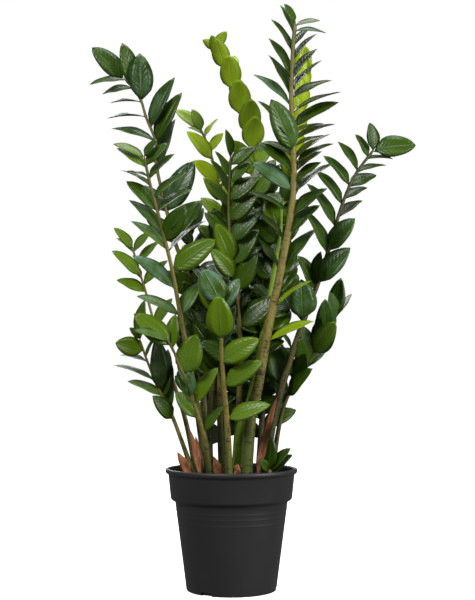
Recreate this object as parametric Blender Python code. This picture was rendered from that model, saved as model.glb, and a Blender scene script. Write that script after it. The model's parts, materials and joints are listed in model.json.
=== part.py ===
"""A zz plant (Zamioculcas) in a round plastic nursery pot.

Metres, +Z up, the pot's base on z = 0, its axis on the Z axis, and the front of the plant towards -Y.
The plant is a clump of fronds. Each grew as one piece, a fleshy stalk with its leaflets, out of a tuber
under the soil. The tables below are in millimetres and degrees.
"""

import itertools
import math

import bmesh
import bpy
from mathutils import Vector
from mathutils.bvhtree import BVHTree

MM = 0.001

# The pot: a 24 cm nursery pot, 221 mm high. Its profile is radius and height, from the middle of the base
# outwards, up the body with its ribs, over the collar and the lip, and back down inside to the floor.
POT_SEGMENTS = 40
SOIL_SEGMENTS = 24
POT_FOOT_RADIUS = 82.0
POT_COLLAR_FOOT = 162.5
POT_BODY_TOP_RADIUS = 102.6
POT_FLOOR = 2.5
POT_RIB_HEIGHTS = (126.0, 137.0, 146.0)
POT_RIB = 0.8
POT_COLLAR = [(107.0, 163.2), (110.4, 167.0), (115.0, 211.5)]
POT_LIP = [(118.2, 212.2), (120.0, 215.0), (120.0, 218.5), (118.6, 221.0), (115.6, 221.4), (113.3, 219.5)]
POT_INSIDE = [(112.9, 211.0), (108.3, 167.5), (105.5, 165.6), (100.5, 164.6), (80.2, POT_FLOOR)]
# Drain notches through the foot of the wall: their turn about the axis from the front, and their size.
NOTCH_ANGLES = (-33.0, 87.0, 207.0)
NOTCH_SIZE = (22.0, 18.0, 13.0)

# The soil fills the pot to about 17 mm under the lip and keeps clear of the wall.
SOIL_TOP = 205.0
SOIL_PROFILE = [
    (0.0, 3.0), (79.4, 3.0), (99.7, 165.4), (104.6, 166.8), (107.4, 169.0),
    (111.0, 200.0), (104.0, 203.0), (70.0, SOIL_TOP), (0.0, 206.0),
]
# Its holes are wider than the stalks and tubers in them, and deeper than the stalks' feet.
SOIL_CLEARANCE = 0.5
HOLE_DEPTH = 1.2

# The tubers that the fronds grow from: centre and half sizes.
TUBERS = {
    "tuber_left": ((-50, 8, 138), (26, 52, 24)),
    "tuber_middle": ((6, -16, 138), (28, 46, 24)),
    "tuber_right": ((62, 6, 138), (24, 46, 24)),
    "tuber_back": ((-8, 56, 136), (22, 26, 22)),
}

# Leaflet shape: the share of the length at each station, and the share of the full half width there. Each
# leaflet is folded up a little along its midrib and bent back along its length.
STATIONS = ((0.0, 0.0), (0.13, 0.30), (0.42, 1.0), (0.76, 0.76), (1.0, 0.0))
STALK_HALF = 1.4
LEAF_HALF_THICK = 0.7
LEAF_FOLD = 14.0
LEAF_BEND = 22.0

# A leaflet whose place is taken is swung to the front or back and rolled by these angles until it is clear
# of the others by this much room.
SWINGS = (0, 5, -5, 10, -10, 15, -15, 20, -20, 26, -26, 32, -32, 40, -40, 50, -50)
TWISTS = (0, 14, -14, 28)
ROOM = 1.0

# Stalks: sides of the section, how fast they thin out above the soil, how deep a leaflet's foot sits in
# one, the gap between a stalk's foot and its tuber, and the lowest height of a foot.
STEM_SIDES = 6
STEM_TAPER = 1.6
FOOT_SIZE = 1.1
FOOT_GAP = 0.8
FOOT_HEIGHT = 150.0

# Each frond: the line of its stalk from the soil to its last leaflets, its radius at the soil and at the
# tip, and its leaflets as (height on the stalk, heading in the front view with 0 up and + to the right,
# length, width, lean towards the front, roll with 0 facing the front and 90 edge on).
FRONDS = {
    "frond_short_front": {
        "line": [
            (-4, -48, 205), (-6, -60, 286), (-10, -72, 341), (-16, -92, 414), (-17, -106, 457),
            (-16, -124, 519),
        ],
        "radii": (7.5, 3.0),
        "leaves": [
            (455, -4, 80, 42, 12, 0), (516, -29, 66, 40, 6, 2), (493, -27, 82, 34, -4, 6),
            (504, 29, 62, 28, 0, 25), (478, -30, 88, 28, -22, 50), (437, 17, 82, 32, -12, 40),
            (415, 58, 76, 36, 14, 12), (373, 57, 82, 32, 18, 20), (314, 71, 80, 30, 14, 30),
        ],
    },
    "frond_tall_centre": {
        "line": [
            (25, -38, 205), (35, -40, 317), (47, -42, 369), (65, -45, 471), (85, -48, 561),
            (102, -52, 652), (111, -56, 730), (109, -60, 812), (106, -64, 886), (109, -68, 971),
            (113, -70, 1014),
        ],
        "radii": (12.7, 3.6),
        "leaves": [
            (1011, -28, 38, 18, 5, 45), (1008, 78, 44, 17, -5, 50), (995, -25, 56, 24, 5, 58),
            (998, 92, 56, 24, -8, 62), (973, 39, 50, 24, -8, 56), (962, -34, 66, 28, 6, 62),
            (947, 40, 70, 28, -14, 66), (918, -30, 78, 32, 6, 58), (915, 38, 76, 32, -14, 62),
            (894, 43, 80, 32, -10, 70), (886, -28, 82, 32, 8, 60), (881, 65, 78, 32, -6, 62),
            (868, -52, 84, 34, 8, 60), (856, 66, 96, 34, -8, 74), (831, 61, 92, 34, -4, 52),
            (821, 73, 58, 26, -10, 72), (806, -41, 92, 34, 4, 60), (807, 68, 80, 32, -6, 68),
            (790, -25, 96, 38, 12, 12), (795, 67, 60, 28, -12, 74), (779, -60, 56, 26, -8, 60),
            (774, 53, 84, 32, -10, 70), (766, 63, 76, 30, 0, 66), (753, -52, 80, 32, 6, 50),
            (753, 52, 62, 28, -12, 62), (734, 53, 56, 28, 4, 58), (719, -58, 86, 34, 10, 38),
            (716, 53, 88, 34, -6, 68), (677, -63, 84, 32, 2, 70), (677, 53, 76, 32, 0, 56),
            (646, 48, 70, 32, 2, 54), (630, -48, 86, 34, -4, 72), (582, 40, 94, 34, 0, 58),
            (579, -36, 78, 30, -8, 74), (516, 55, 76, 26, 4, 72), (454, 67, 86, 26, 6, 60),
        ],
    },
    "frond_right": {
        "line": [
            (61, 0, 205), (72, 3, 290), (93, 8, 373), (125, 14, 471), (158, 22, 557), (182, 28, 631),
            (204, 34, 704), (229, 41, 761), (267, 50, 812),
        ],
        "radii": (10.0, 2.8),
        "leaves": [
            (810, 84, 77, 32, 0, 15), (807, 103, 43, 20, -10, 60), (808, -7, 51, 22, 4, 30),
            (793, 90, 49, 22, -6, 68), (795, -30, 47, 22, 6, 50), (769, -35, 64, 26, 4, 54),
            (767, 76, 56, 26, -4, 68), (740, 65, 58, 28, 0, 48), (741, -42, 72, 28, 4, 52),
            (717, 62, 50, 26, 0, 58), (706, -39, 77, 30, 4, 54), (683, 55, 54, 26, 0, 60),
            (665, -34, 93, 32, 4, 56), (621, 39, 74, 32, 4, 35), (615, -28, 86, 32, 4, 56),
            (562, 42, 84, 34, 6, 34), (558, 6, 60, 24, 14, 50), (547, -26, 68, 30, 4, 48),
            (493, -3, 72, 38, 8, 6), (489, -34, 68, 26, -8, 60), (437, -37, 55, 22, -6, 74),
            (373, -8, 88, 38, -18, 10),
        ],
    },
    "frond_left_front": {
        "line": [
            (-44, -4, 205), (-52, -10, 263), (-64, -22, 346), (-84, -45, 460), (-94, -56, 518),
            (-104, -66, 575), (-120, -78, 643), (-141, -90, 722), (-152, -96, 774),
        ],
        "radii": (8.0, 2.6),
        "leaves": [
            (771, -67, 58, 24, 0, 52), (772, 36, 36, 18, 0, 40), (757, 44, 52, 26, 0, 40),
            (754, -57, 60, 26, 0, 50), (738, -77, 42, 22, -6, 74), (722, -60, 68, 26, 4, 72),
            (734, 45, 62, 28, -4, 55), (701, 52, 74, 30, -4, 58), (680, -46, 74, 32, 4, 44),
            (678, 57, 72, 32, -4, 60), (644, -47, 79, 32, 4, 56), (640, 47, 85, 34, -4, 50),
            (627, 31, 73, 34, 8, 15), (613, -52, 79, 32, 4, 60), (609, 50, 87, 32, -8, 72),
            (576, 55, 92, 38, 6, 6), (546, -53, 93, 34, 6, 46), (498, -66, 82, 32, 4, 58),
            (498, 30, 70, 32, -14, 40),
        ],
    },
    "frond_low_front_left": {
        "line": [
            (-36, -32, 205), (-46, -44, 272), (-55, -52, 305), (-70, -64, 355), (-81, -74, 386),
            (-91, -82, 407), (-100, -92, 432), (-113, -106, 456),
        ],
        "radii": (7.0, 2.2),
        "leaves": [
            (444, -49, 82, 38, 8, 22), (452, -74, 62, 26, 0, 60), (438, 5, 60, 26, -4, 30),
            (393, 18, 74, 42, 10, 4), (370, -24, 55, 24, 0, 44), (355, -9, 50, 22, 6, 48),
            (350, -30, 56, 26, -8, 30), (341, 33, 75, 30, 6, 38), (315, -41, 62, 30, 6, 24),
            (290, 37, 56, 24, 4, 48),
        ],
    },
    "frond_low_left": {
        "line": [
            (-66, -18, 205), (-91, -30, 277), (-105, -36, 315), (-119, -43, 345), (-135, -50, 378),
            (-144, -56, 402), (-153, -62, 427), (-163, -70, 458),
        ],
        "radii": (5.5, 2.0),
        "leaves": [
            (435, -75, 50, 32, 4, 10), (415, -77, 50, 22, 0, 74), (382, -70, 77, 26, 0, 74),
            (355, -67, 65, 28, 2, 62), (314, -40, 58, 28, 8, 28), (454, 7, 70, 26, -4, 40),
            (456, -41, 26, 14, 0, 40), (363, -4, 95, 34, -2, 25), (349, 4, 90, 34, -12, 30),
            (327, 3, 80, 22, -4, 40), (423, 26, 40, 14, 0, 60),
        ],
    },
    "frond_dark_middle": {
        "line": [
            (6, 10, 205), (14, 4, 345), (16, -4, 454), (8, -10, 545), (-2, -16, 635), (-5, -20, 701),
            (-3, -24, 738), (-1, -28, 787),
        ],
        "radii": (7.5, 2.4),
        "leaves": [
            (783, -10, 50, 20, 4, 46), (769, 55, 54, 27, 0, 30), (747, -29, 54, 24, 4, 56),
            (738, 47, 52, 27, 2, 38), (721, -30, 66, 28, 4, 58), (707, 54, 68, 32, 4, 22),
            (693, -41, 62, 28, 4, 54), (670, 48, 68, 32, 6, 16), (632, 46, 74, 32, 4, 22),
            (626, -38, 76, 32, 6, 38), (596, -23, 76, 36, 12, 4), (590, 35, 78, 34, 8, 20),
            (568, -40, 68, 30, 14, 14), (543, 30, 76, 34, 10, 18),
        ],
    },
    "frond_bright_back": {
        "line": [
            (-41, 26, 205), (-41, 32, 290), (-35, 40, 370), (-28, 48, 436), (-10, 58, 510), (6, 70, 581),
            (25, 80, 646), (35, 92, 717), (39, 100, 784), (32, 107, 842), (17, 111, 890), (1, 113, 938),
            (-12, 114, 975), (-34, 115, 1022),
        ],
        "radii": (8.0, 2.4),
        "leaves": [
            (1019, 40, 35, 18, 10, 170), (1018, -55, 31, 16, 0, 160), (994, -25, 50, 22, 20, 175),
            (976, -20, 60, 31, 26, 175), (959, 12, 54, 27, -20, 10), (936, -8, 66, 37, 28, 180),
            (919, 6, 52, 27, -22, 10), (887, -6, 68, 39, 28, 180), (883, 0, 56, 29, -22, 10),
            (846, 5, 72, 39, 28, 180), (846, 12, 54, 29, -22, 10), (821, 9, 64, 39, 28, 180),
            (782, 30, 76, 35, -20, 20), (771, -30, 74, 35, 20, 20), (722, 35, 78, 35, -20, 20),
            (709, -32, 76, 35, 16, 20), (657, 36, 80, 35, -24, 20), (647, -34, 78, 35, 20, 20),
            (385, -10, 76, 32, 8, 30),
        ],
    },
    "frond_lime_left": {
        "line": [
            (-18, 34, 205), (-22, 32, 345), (-20, 29, 454), (-12, 26, 563), (-10, 22, 654),
            (-15, 19, 700), (-23, 16, 736), (-34, 14, 782), (-46, 13, 818), (-60, 12, 846),
        ],
        "radii": (7.0, 2.2),
        "leaves": [
            (842, -53, 56, 26, 0, 35), (838, -25, 42, 20, 6, 20), (832, -62, 36, 18, -4, 58),
            (826, 36, 42, 20, -4, 60), (800, 34, 42, 22, -6, 40), (786, -44, 68, 28, 4, 30),
            (745, -50, 58, 28, 6, 25), (742, 28, 50, 24, -10, 40), (712, -43, 56, 28, 8, 30),
            (716, 25, 44, 24, -8, 30), (672, -45, 64, 30, 0, 35), (668, 30, 60, 28, -14, 30),
            (620, -48, 70, 32, -6, 30),
        ],
    },
    "frond_tall_left": {
        "line": [
            (-48, 54, 205), (-50, 66, 308), (-60, 78, 418), (-66, 88, 483), (-68, 95, 541),
            (-94, 105, 605), (-114, 113, 662), (-145, 128, 790), (-147, 133, 839), (-166, 137, 888),
            (-176, 140, 921), (-193, 142, 948), (-214, 144, 967),
        ],
        "radii": (8.5, 2.6),
        "leaves": [
            (965, -46, 82, 33, 6, 18), (962, -98, 68, 29, 0, 58), (945, -101, 61, 29, 0, 58),
            (949, -13, 84, 31, 4, 32), (921, -2, 91, 37, 0, 12), (918, -92, 60, 29, 0, 74),
            (889, -93, 74, 31, 0, 74), (868, 25, 109, 33, -4, 42), (841, -74, 87, 33, 0, 62),
            (840, 28, 107, 35, 0, 40), (782, 17, 112, 35, -6, 50), (704, 28, 108, 39, 0, 8),
            (704, -50, 82, 35, -12, 40), (652, 35, 94, 35, -14, 30), (642, -45, 82, 35, -16, 40),
            (591, 40, 92, 35, -20, 30), (545, -52, 68, 31, 10, 10), (530, 30, 86, 35, -20, 30),
        ],
    },
    "frond_far_left": {
        "line": [
            (-64, 20, 205), (-85, 25, 308), (-115, 31, 399), (-142, 38, 482), (-159, 43, 543),
            (-171, 47, 581), (-185, 50, 628),
        ],
        "radii": (6.0, 2.0),
        "leaves": [
            (626, -42, 51, 22, 4, 42), (618, -50, 47, 20, -4, 66), (620, 41, 51, 22, -4, 45),
            (595, 42, 61, 24, -6, 50), (575, -49, 70, 28, 4, 44), (569, -43, 64, 24, -8, 60),
            (558, 44, 64, 26, -8, 45), (545, -68, 57, 28, 4, 48), (481, 30, 62, 26, -14, 40),
        ],
    },
    "frond_young_folded": {
        "line": [
            (8, -22, 205), (15, -19, 290), (34, -12, 345), (55, -8, 454), (72, -3, 545), (88, 2, 645),
            (91, 5, 691), (100, 8, 731), (118, 12, 802), (126, 16, 858), (134, 20, 935),
        ],
        "radii": (9.0, 2.4),
        "leaves": [
            (933, 2, 63, 22, 0, 30), (930, 12, 49, 20, -6, 40), (910, -6, 65, 22, 6, 40),
            (905, 10, 67, 22, -6, 40), (872, -8, 71, 24, 6, 40), (866, 9, 73, 24, -8, 35),
            (831, -7, 73, 24, 6, 40), (825, 12, 73, 24, -8, 40), (787, -2, 71, 24, 6, 40),
            (782, 14, 71, 24, -8, 40), (747, 10, 66, 24, -6, 45),
        ],
    },
    "frond_low_right": {
        "line": [
            (74, 32, 205), (87, 36, 290), (102, 40, 346), (127, 46, 386), (160, 54, 438), (197, 62, 502),
        ],
        "radii": (6.0, 2.2),
        "leaves": [
            (500, 7, 72, 31, 4, 28), (497, 36, 68, 27, -6, 58), (487, -7, 64, 29, 10, 38),
            (465, -3, 73, 35, 12, 5), (455, 6, 68, 29, -8, 40), (443, 3, 60, 27, -12, 40),
            (432, 31, 80, 37, 8, 10), (420, -16, 64, 31, 8, 30), (403, 45, 74, 29, -6, 45),
            (391, -4, 78, 33, 8, 30), (373, 18, 74, 33, 4, 30), (353, 40, 84, 31, 0, 48),
            (340, -20, 70, 30, -14, 30),
        ],
    },
    "shoot_small_right": {
        "line": [
            (68, -28, 205), (69, -28, 224),
        ],
        "radii": (5.0, 3.0),
        "leaves": [
            (222, 2, 60, 26, 4, 20), (220, 42, 54, 24, 8, 50), (214, 50, 52, 24, -4, 52),
            (218, -39, 32, 18, 6, 30), (221, -9, 46, 22, -14, 30),
        ],
    },
}

# Three fronds at the back of the clump, with leaflets in even pairs: the line of the stalk, its radii, the
# lowest and highest pair, the number of pairs, and the length of the longest leaflets.
BACK_FRONDS = {
    "frond_back_centre": (
        [(27, 10, 205), (39, 50, 345), (52, 75, 472), (60, 95, 581), (63, 115, 672), (60, 135, 770)],
        (8.0, 2.4), 480, 760, 8, 78,
    ),
    "frond_back_right": (
        [(50, 44, 205), (60, 66, 345), (71, 88, 454), (84, 108, 545), (92, 128, 636), (90, 146, 700)],
        (7.0, 2.4), 400, 688, 7, 74,
    ),
    "frond_back_left": (
        [(-12, 66, 205), (-18, 86, 345), (-33, 108, 454), (-54, 128, 545), (-72, 146, 618), (-83, 160, 672)],
        (7.0, 2.4), 380, 662, 7, 76,
    ),
}

# Papery brown sheaths that stand round the stalks on the soil: foot, heading, length, width, lean, roll.
SHEATHS = {
    "sheath_left": ((-72, -36), -28, 52, 15, 6, 10),
    "sheath_left_long": ((-56, -36), -12, 90, 11, 4, 20),
    "sheath_left_inner": ((-54, -22), -9, 74, 10, -4, 30),
    "sheath_middle": ((-20, -36), -17, 40, 14, 4, 10),
    "sheath_right_long": ((46, -36), 14, 150, 13, 0, 20),
    "sheath_bud": ((9, -42), 4, 26, 13, 10, 0),
}

GREENS = {"dark": (0.035, 0.11, 0.012), "bright": (0.11, 0.24, 0.01), "lime": (0.25, 0.42, 0.02)}
FROND_GREEN = {
    "frond_bright_back": "bright",
    "frond_short_front": "bright",
    "frond_lime_left": "lime",
    "frond_young_folded": "lime",
}


def clear_scene():
    for obj in list(bpy.data.objects):
        bpy.data.objects.remove(obj)


def material(name, colour, roughness):
    """A Principled material of one colour. Nothing on the plant is metal."""
    made = bpy.data.materials.new(name)
    made.use_nodes = True
    shader = made.node_tree.nodes["Principled BSDF"]
    shader.inputs["Base Color"].default_value = (*colour, 1.0)
    shader.inputs["Roughness"].default_value = roughness
    shader.inputs["Metallic"].default_value = 0.0
    made.diffuse_color = (*colour, 1.0)
    return made


def add_object(name, bm, look, helper=False):
    """The finished object of a bmesh. A helper only cuts or joins, and isn't rendered."""
    bmesh.ops.recalc_face_normals(bm, faces=bm.faces)
    mesh = bpy.data.meshes.new(name)
    bm.to_mesh(mesh)
    bm.free()
    mesh.materials.append(look)
    obj = bpy.data.objects.new(name, mesh)
    bpy.context.scene.collection.objects.link(obj)
    if helper:
        obj.hide_render = True
        obj.display_type = "WIRE"
    return obj


def combine(obj, other, operation):
    """A Boolean of obj with a helper whose pieces may cross one another."""
    modifier = obj.modifiers.new(operation.title(), "BOOLEAN")
    modifier.operation = operation
    modifier.solver = "EXACT"
    modifier.use_self = True
    modifier.object = other


def revolve(bm, profile, segments):
    """Turns a profile of (radius, height) in millimetres round the Z axis into a closed skin."""
    points = [bm.verts.new((r * MM, 0, z * MM)) for r, z in profile]
    edges = [bm.edges.new(pair) for pair in zip(points, points[1:])]
    whole = {"axis": (0, 0, 1), "cent": (0, 0, 0), "angle": math.tau, "use_merge": True}
    bmesh.ops.spin(bm, geom=points + edges, steps=segments, **whole)
    bmesh.ops.remove_doubles(bm, verts=bm.verts, dist=1e-6)


def skin(bm, sections):
    """A closed skin through sections of equally many points, in metres, or one point at a tip."""
    bmesh.ops.create_circle(bm, cap_ends=True, radius=1, segments=len(sections[0]))
    bm.faces.ensure_lookup_table()
    face = bm.faces[-1]
    for index, section in enumerate(sections):
        if index:
            behind = face
            made = bmesh.ops.extrude_face_region(bm, geom=[behind], use_keep_orig=True)["geom"]
            face = next(item for item in made if isinstance(item, bmesh.types.BMFace))
            if index > 1:
                bmesh.ops.delete(bm, geom=[behind], context="FACES_ONLY")
        if len(section) == 1:
            bmesh.ops.pointmerge(bm, verts=list(face.verts), merge_co=section[0])
            return
        for vert, point in zip(face.verts, section):
            vert.co = point


def tree_of(sections):
    """The same skin as a search tree with the corners of its box, for testing what touches what."""
    around = len(sections[0])
    points = [point for section in sections for point in section]
    faces = [tuple(range(around))]
    for index, section in enumerate(sections[1:]):
        for k in range(around):
            low, up = index * around + k, index * around + (k + 1) % around
            if len(section) == 1:
                faces.append((low, up, len(points) - 1))
            else:
                faces.append((low, up, up + around, low + around))
    low = Vector([min(p[k] for p in points) for k in range(3)])
    high = Vector([max(p[k] for p in points) for k in range(3)])
    return low, high, BVHTree.FromPolygons(points, faces)


def touches(one, others):
    low, high, tree = one
    for other_low, other_high, other in others:
        near = all(low[k] <= other_high[k] and high[k] >= other_low[k] for k in range(3))
        if near and tree.overlap(other):
            return True
    return False


def smooth_line(points, steps=6):
    """A Catmull-Rom line through the points, in metres."""
    knots = [Vector(p) * MM for p in points]
    knots = [2 * knots[0] - knots[1], *knots, 2 * knots[-1] - knots[-2]]
    line = []
    for a, b, c, d in zip(knots, knots[1:], knots[2:], knots[3:]):
        for step in range(steps):
            t = step / steps
            square, cube = 2 * a - 5 * b + 4 * c - d, 3 * b - a - 3 * c + d
            line.append(0.5 * (2 * b + (c - a) * t + square * t**2 + cube * t**3))
    return [*line, knots[-2]]


def point_at(line, height):
    """The line's point and tangent at that height in millimetres, and its share of the way up."""
    share = (height * MM - line[0].z) / (line[-1].z - line[0].z)
    for low, high in zip(line, line[1:]):
        if high.z >= height * MM:
            part = (height * MM - low.z) / (high.z - low.z)
            return low.lerp(high, part), (high - low).normalized(), share
    return line[-1], (line[-1] - line[-2]).normalized(), 1.0


def stem_radius(radii, share):
    thick, thin = radii
    return (thin + (thick - thin) * (1 - min(max(share, 0), 1)) ** STEM_TAPER) * MM


def ring(centre, tangent, radius):
    """The points of a stalk's section, square to the tangent."""
    side = tangent.cross(Vector((0, 1, 0))).normalized()
    front = side.cross(tangent).normalized()
    turns = [math.tau * k / STEM_SIDES for k in range(STEM_SIDES)]
    return [centre + radius * (math.cos(a) * side + math.sin(a) * front) for a in turns]


def stem_sections(points, radii, foot, extra=0.0):
    """Sections of a stalk from its foot under the soil to its tip. extra widens it, for its hole."""
    line = smooth_line(points)
    extra *= MM
    bottom = Vector((line[0].x, line[0].y, foot * MM))
    sections = [ring(bottom, Vector((0, 0, 1)), stem_radius(radii, 0) * 0.9 + extra)]
    for index, point in enumerate(points):
        centre = Vector(point) * MM
        before = Vector(points[max(index - 1, 0)]) * MM
        after = Vector(points[min(index + 1, len(points) - 1)]) * MM
        tangent = Vector((0, 0, 1)) if index == 0 else (after - before).normalized()
        sections.append(ring(centre, tangent, stem_radius(radii, point_at(line, point[2])[2]) + extra))
    tip = Vector(points[-1]) * MM
    reach = (tip - Vector(points[-2]) * MM).normalized() * (radii[1] * MM + extra)
    return [*sections, [tip + reach]]


def leaf_sections(foot, row, room=0.0):
    """Sections of a leaflet that starts at foot. room makes it bigger all round, for testing."""
    heading, length, width, lean, roll = row
    turn, tilt, spin = math.radians(heading), math.radians(lean), math.radians(roll)
    along = Vector((math.sin(turn) * math.cos(tilt), -math.sin(tilt), math.cos(turn) * math.cos(tilt)))
    face = (Vector((0, -1, 0)) + along * along.y).normalized()
    spin = spin if heading <= 0 else -spin
    face = face * math.cos(spin) + along.cross(face) * math.sin(spin)
    side = along.cross(face)
    room, length, half = room * MM, (length + room) * MM, width * MM / 2
    bend, fold = math.radians(LEAF_BEND), math.radians(LEAF_FOLD)
    reach = length / (2 * math.sin(bend / 2))
    sections = []
    for share, breadth in STATIONS:
        turned = bend * (0.5 - share)
        centre = foot + along * reach * (math.sin(bend / 2) - math.sin(turned))
        centre += face * reach * (math.cos(turned) - math.cos(bend / 2))
        if share == 1.0:
            return [*sections, [centre]]
        up = face * math.cos(turned) - along * math.sin(turned)
        out = max(breadth * half, STALK_HALF * MM) + room
        thick = (STALK_HALF if share < 0.1 else LEAF_HALF_THICK) * MM + room
        lift = up * (math.tan(fold) * out if share > 0.1 else 0)
        rims = [centre + side * out + lift, centre - side * out + lift]
        sections.append([rims[0], centre + up * thick, rims[1], centre - up * thick])


def foot_of(centre, tangent, radius, heading, lean):
    """Where in the stalk a leaflet starts: off the axis, on the side that the leaflet grows towards."""
    turn, tilt = math.radians(heading), math.radians(lean)
    along = Vector((math.sin(turn) * math.cos(tilt), -math.sin(tilt), math.cos(turn) * math.cos(tilt)))
    out = along - tangent * along.dot(tangent) + Vector((0, -0.35 if lean >= 0 else 0.35, 0))
    return centre + out.normalized() * max(radius - FOOT_SIZE * MM, 0.4 * MM)


def fit_leaf(stem, row, own, siblings, placed):
    """The leaflet's sections and search tree, swung and rolled until it is clear of the others."""
    centre, tangent, radius = stem
    heading, length, width, lean, roll = row
    for clear in (1, 2):
        for twist, swing in itertools.product(TWISTS, SWINGS):
            tried = (heading, length, width, lean + swing, roll + twist)
            foot = foot_of(centre, tangent, radius, heading, lean + swing)
            leaf, room = leaf_sections(foot, tried), leaf_sections(foot, tried, ROOM)
            if touches(tree_of(room[1:]), placed) or touches(tree_of(room[clear:]), own):
                continue
            if not touches(tree_of(leaf), siblings):
                return leaf, tree_of(leaf)
    raise ValueError(f"a leaflet has no free place: {row}")


def back_leaves(low, high, pairs, longest):
    """Even pairs of leaflets for a frond at the back, longest in the middle and leaning to the back."""
    rows = []
    for k in range(pairs):
        share = k / (pairs - 1)
        height = low + (high - low) * share
        length = longest * (0.72 + 0.28 * math.sin(math.pi * (0.15 + 0.75 * share)))
        for side in (-1, 1):
            heading, lean = side * (52 - 26 * share), -34 + 16 * math.sin(2.3 * k + side)
            rows.append((round(height + 5 * side), heading, length, length * 0.42, lean, 24 + 6 * side))
    return rows


def build_pot(look):
    slope = (POT_BODY_TOP_RADIUS - POT_FOOT_RADIUS) / POT_COLLAR_FOOT
    body = [(0.0, 0.0), (POT_FOOT_RADIUS - 1.5, 0.0), (POT_FOOT_RADIUS, 1.5)]
    for height in POT_RIB_HEIGHTS:
        for step, out in ((-1.8, 0.0), (0.0, POT_RIB), (1.8, 0.0)):
            body.append((POT_FOOT_RADIUS + slope * (height + step) + out, height + step))
    body.append((POT_BODY_TOP_RADIUS, POT_COLLAR_FOOT))
    bm = bmesh.new()
    revolve(bm, [*body, *POT_COLLAR, *POT_LIP, *POT_INSIDE, (0.0, POT_FLOOR)], POT_SEGMENTS)
    pot = add_object("pot", bm, look)
    notches = bmesh.new()
    for angle in NOTCH_ANGLES:
        made = bmesh.ops.create_cube(notches, size=1)["verts"]
        bmesh.ops.scale(notches, vec=Vector(NOTCH_SIZE) * MM, verts=made)
        bmesh.ops.translate(notches, vec=(0, -POT_FOOT_RADIUS * MM, 0), verts=made)
        spin = math.radians(angle)
        for vert in made:
            x, y, z = vert.co
            vert.co = (x * math.cos(spin) - y * math.sin(spin), x * math.sin(spin) + y * math.cos(spin), z)
    combine(pot, add_object("pot_notches", notches, look, helper=True), "DIFFERENCE")


def build_tubers(look):
    """The tubers, and their search trees."""
    trees = []
    for name, (centre, half) in TUBERS.items():
        bm = bmesh.new()
        lump(bm, centre, half)
        trees.append(BVHTree.FromBMesh(bm))
        add_object(name, bm, look)
    return trees


def lump(bm, centre, half):
    made = bmesh.ops.create_icosphere(bm, subdivisions=2, radius=1)["verts"]
    bmesh.ops.scale(bm, vec=Vector(half) * MM, verts=made)
    bmesh.ops.translate(bm, vec=Vector(centre) * MM, verts=made)


def foot_on(tubers, point, radius):
    """The height in millimetres at which a stalk of that radius meets the tuber under it."""
    heights = [FOOT_HEIGHT]
    for share in (0, 0.5, 1):
        for turn in range(12):
            angle = math.tau * turn / 12
            offset = Vector((math.cos(angle), math.sin(angle), 0)) * radius * share
            start = Vector((point[0], point[1], 200)) + offset
            for tree in tubers:
                hit = tree.ray_cast(start * MM, Vector((0, 0, -1)))[0]
                if hit is not None:
                    heights.append(hit.z / MM + FOOT_GAP)
    return max(heights)


def build_fronds(looks, tubers):
    """Every frond, as a stalk united with its leaflets. Returns the stalks' holes and what is placed."""
    fronds = {name: (f["line"], f["radii"], f["leaves"]) for name, f in FRONDS.items()}
    for name, (line, radii, low, high, pairs, longest) in BACK_FRONDS.items():
        fronds[name] = (line, radii, back_leaves(low, high, pairs, longest))
    feet = {name: foot_on(tubers, line[0], radii[0]) for name, (line, radii, _) in fronds.items()}
    stems = {name: stem_sections(line, radii, feet[name]) for name, (line, radii, _) in fronds.items()}
    own = {name: tree_of(sections) for name, sections in stems.items()}
    leaves = []
    for name, (line, radii, rows) in fronds.items():
        path = smooth_line(line)
        others = [tree for key, tree in own.items() if key != name]
        siblings = []
        bm = bmesh.new()
        for height, *row in rows:
            centre, tangent, share = point_at(path, height)
            stem_here = (centre, tangent, stem_radius(radii, share))
            sections, tree = fit_leaf(stem_here, row, [own[name]], siblings, others + leaves)
            skin(bm, sections)
            leaves.append(tree)
            siblings.append(tree)
        stem = bmesh.new()
        skin(stem, stems[name])
        look = looks[FROND_GREEN.get(name, "dark")]
        frond = add_object(name, stem, look)
        combine(frond, add_object(name + "_leaflets", bm, look, helper=True), "UNION")
    holes = []
    for name, (line, radii, _) in fronds.items():
        holes.append(stem_sections(line, radii, feet[name] - HOLE_DEPTH, SOIL_CLEARANCE))
    return holes, list(own.values()) + leaves


def build_soil(look, holes):
    bm = bmesh.new()
    revolve(bm, SOIL_PROFILE, SOIL_SEGMENTS)
    soil = add_object("soil", bm, look)
    cut = bmesh.new()
    for sections in holes:
        skin(cut, sections[:3])
    for centre, half in TUBERS.values():
        lump(cut, centre, [side + SOIL_CLEARANCE for side in half])
    combine(soil, add_object("soil_holes", cut, look, helper=True), "DIFFERENCE")


def build_sheaths(look, placed):
    for name, ((x, y), heading, length, width, lean, roll) in SHEATHS.items():
        foot = Vector((x, y, SOIL_TOP + 2.6)) * MM
        row = (heading, length, width, lean, roll)
        sections, tree = fit_leaf((foot, Vector((0, 0, 1)), 0), row, [], [], placed)
        placed.append(tree)
        bm = bmesh.new()
        skin(bm, sections)
        add_object(name, bm, look)


def main():
    clear_scene()
    greens = {name: material("leaf_" + name, colour, 0.25) for name, colour in GREENS.items()}
    build_pot(material("pot_plastic", (0.022, 0.023, 0.025), 0.45))
    tubers = build_tubers(material("tuber_skin", (0.35, 0.24, 0.12), 0.7))
    holes, placed = build_fronds(greens, tubers)
    build_soil(material("soil", (0.03, 0.018, 0.012), 0.95), holes)
    build_sheaths(material("dry_sheath", (0.33, 0.12, 0.04), 0.75), placed)


main()
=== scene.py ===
# %% [markdown]
# # A potted zz plant
#
# The imported model fixes where every stalk, leaflet and wall is. This script gives each of them its
# finished surface. It starts by reading that model, and it keeps the size of its box. Lengths in the
# tables are in millimetres, and Blender's are in metres.

# %% The fixed frame
import itertools
import json
import math
import random

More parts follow.
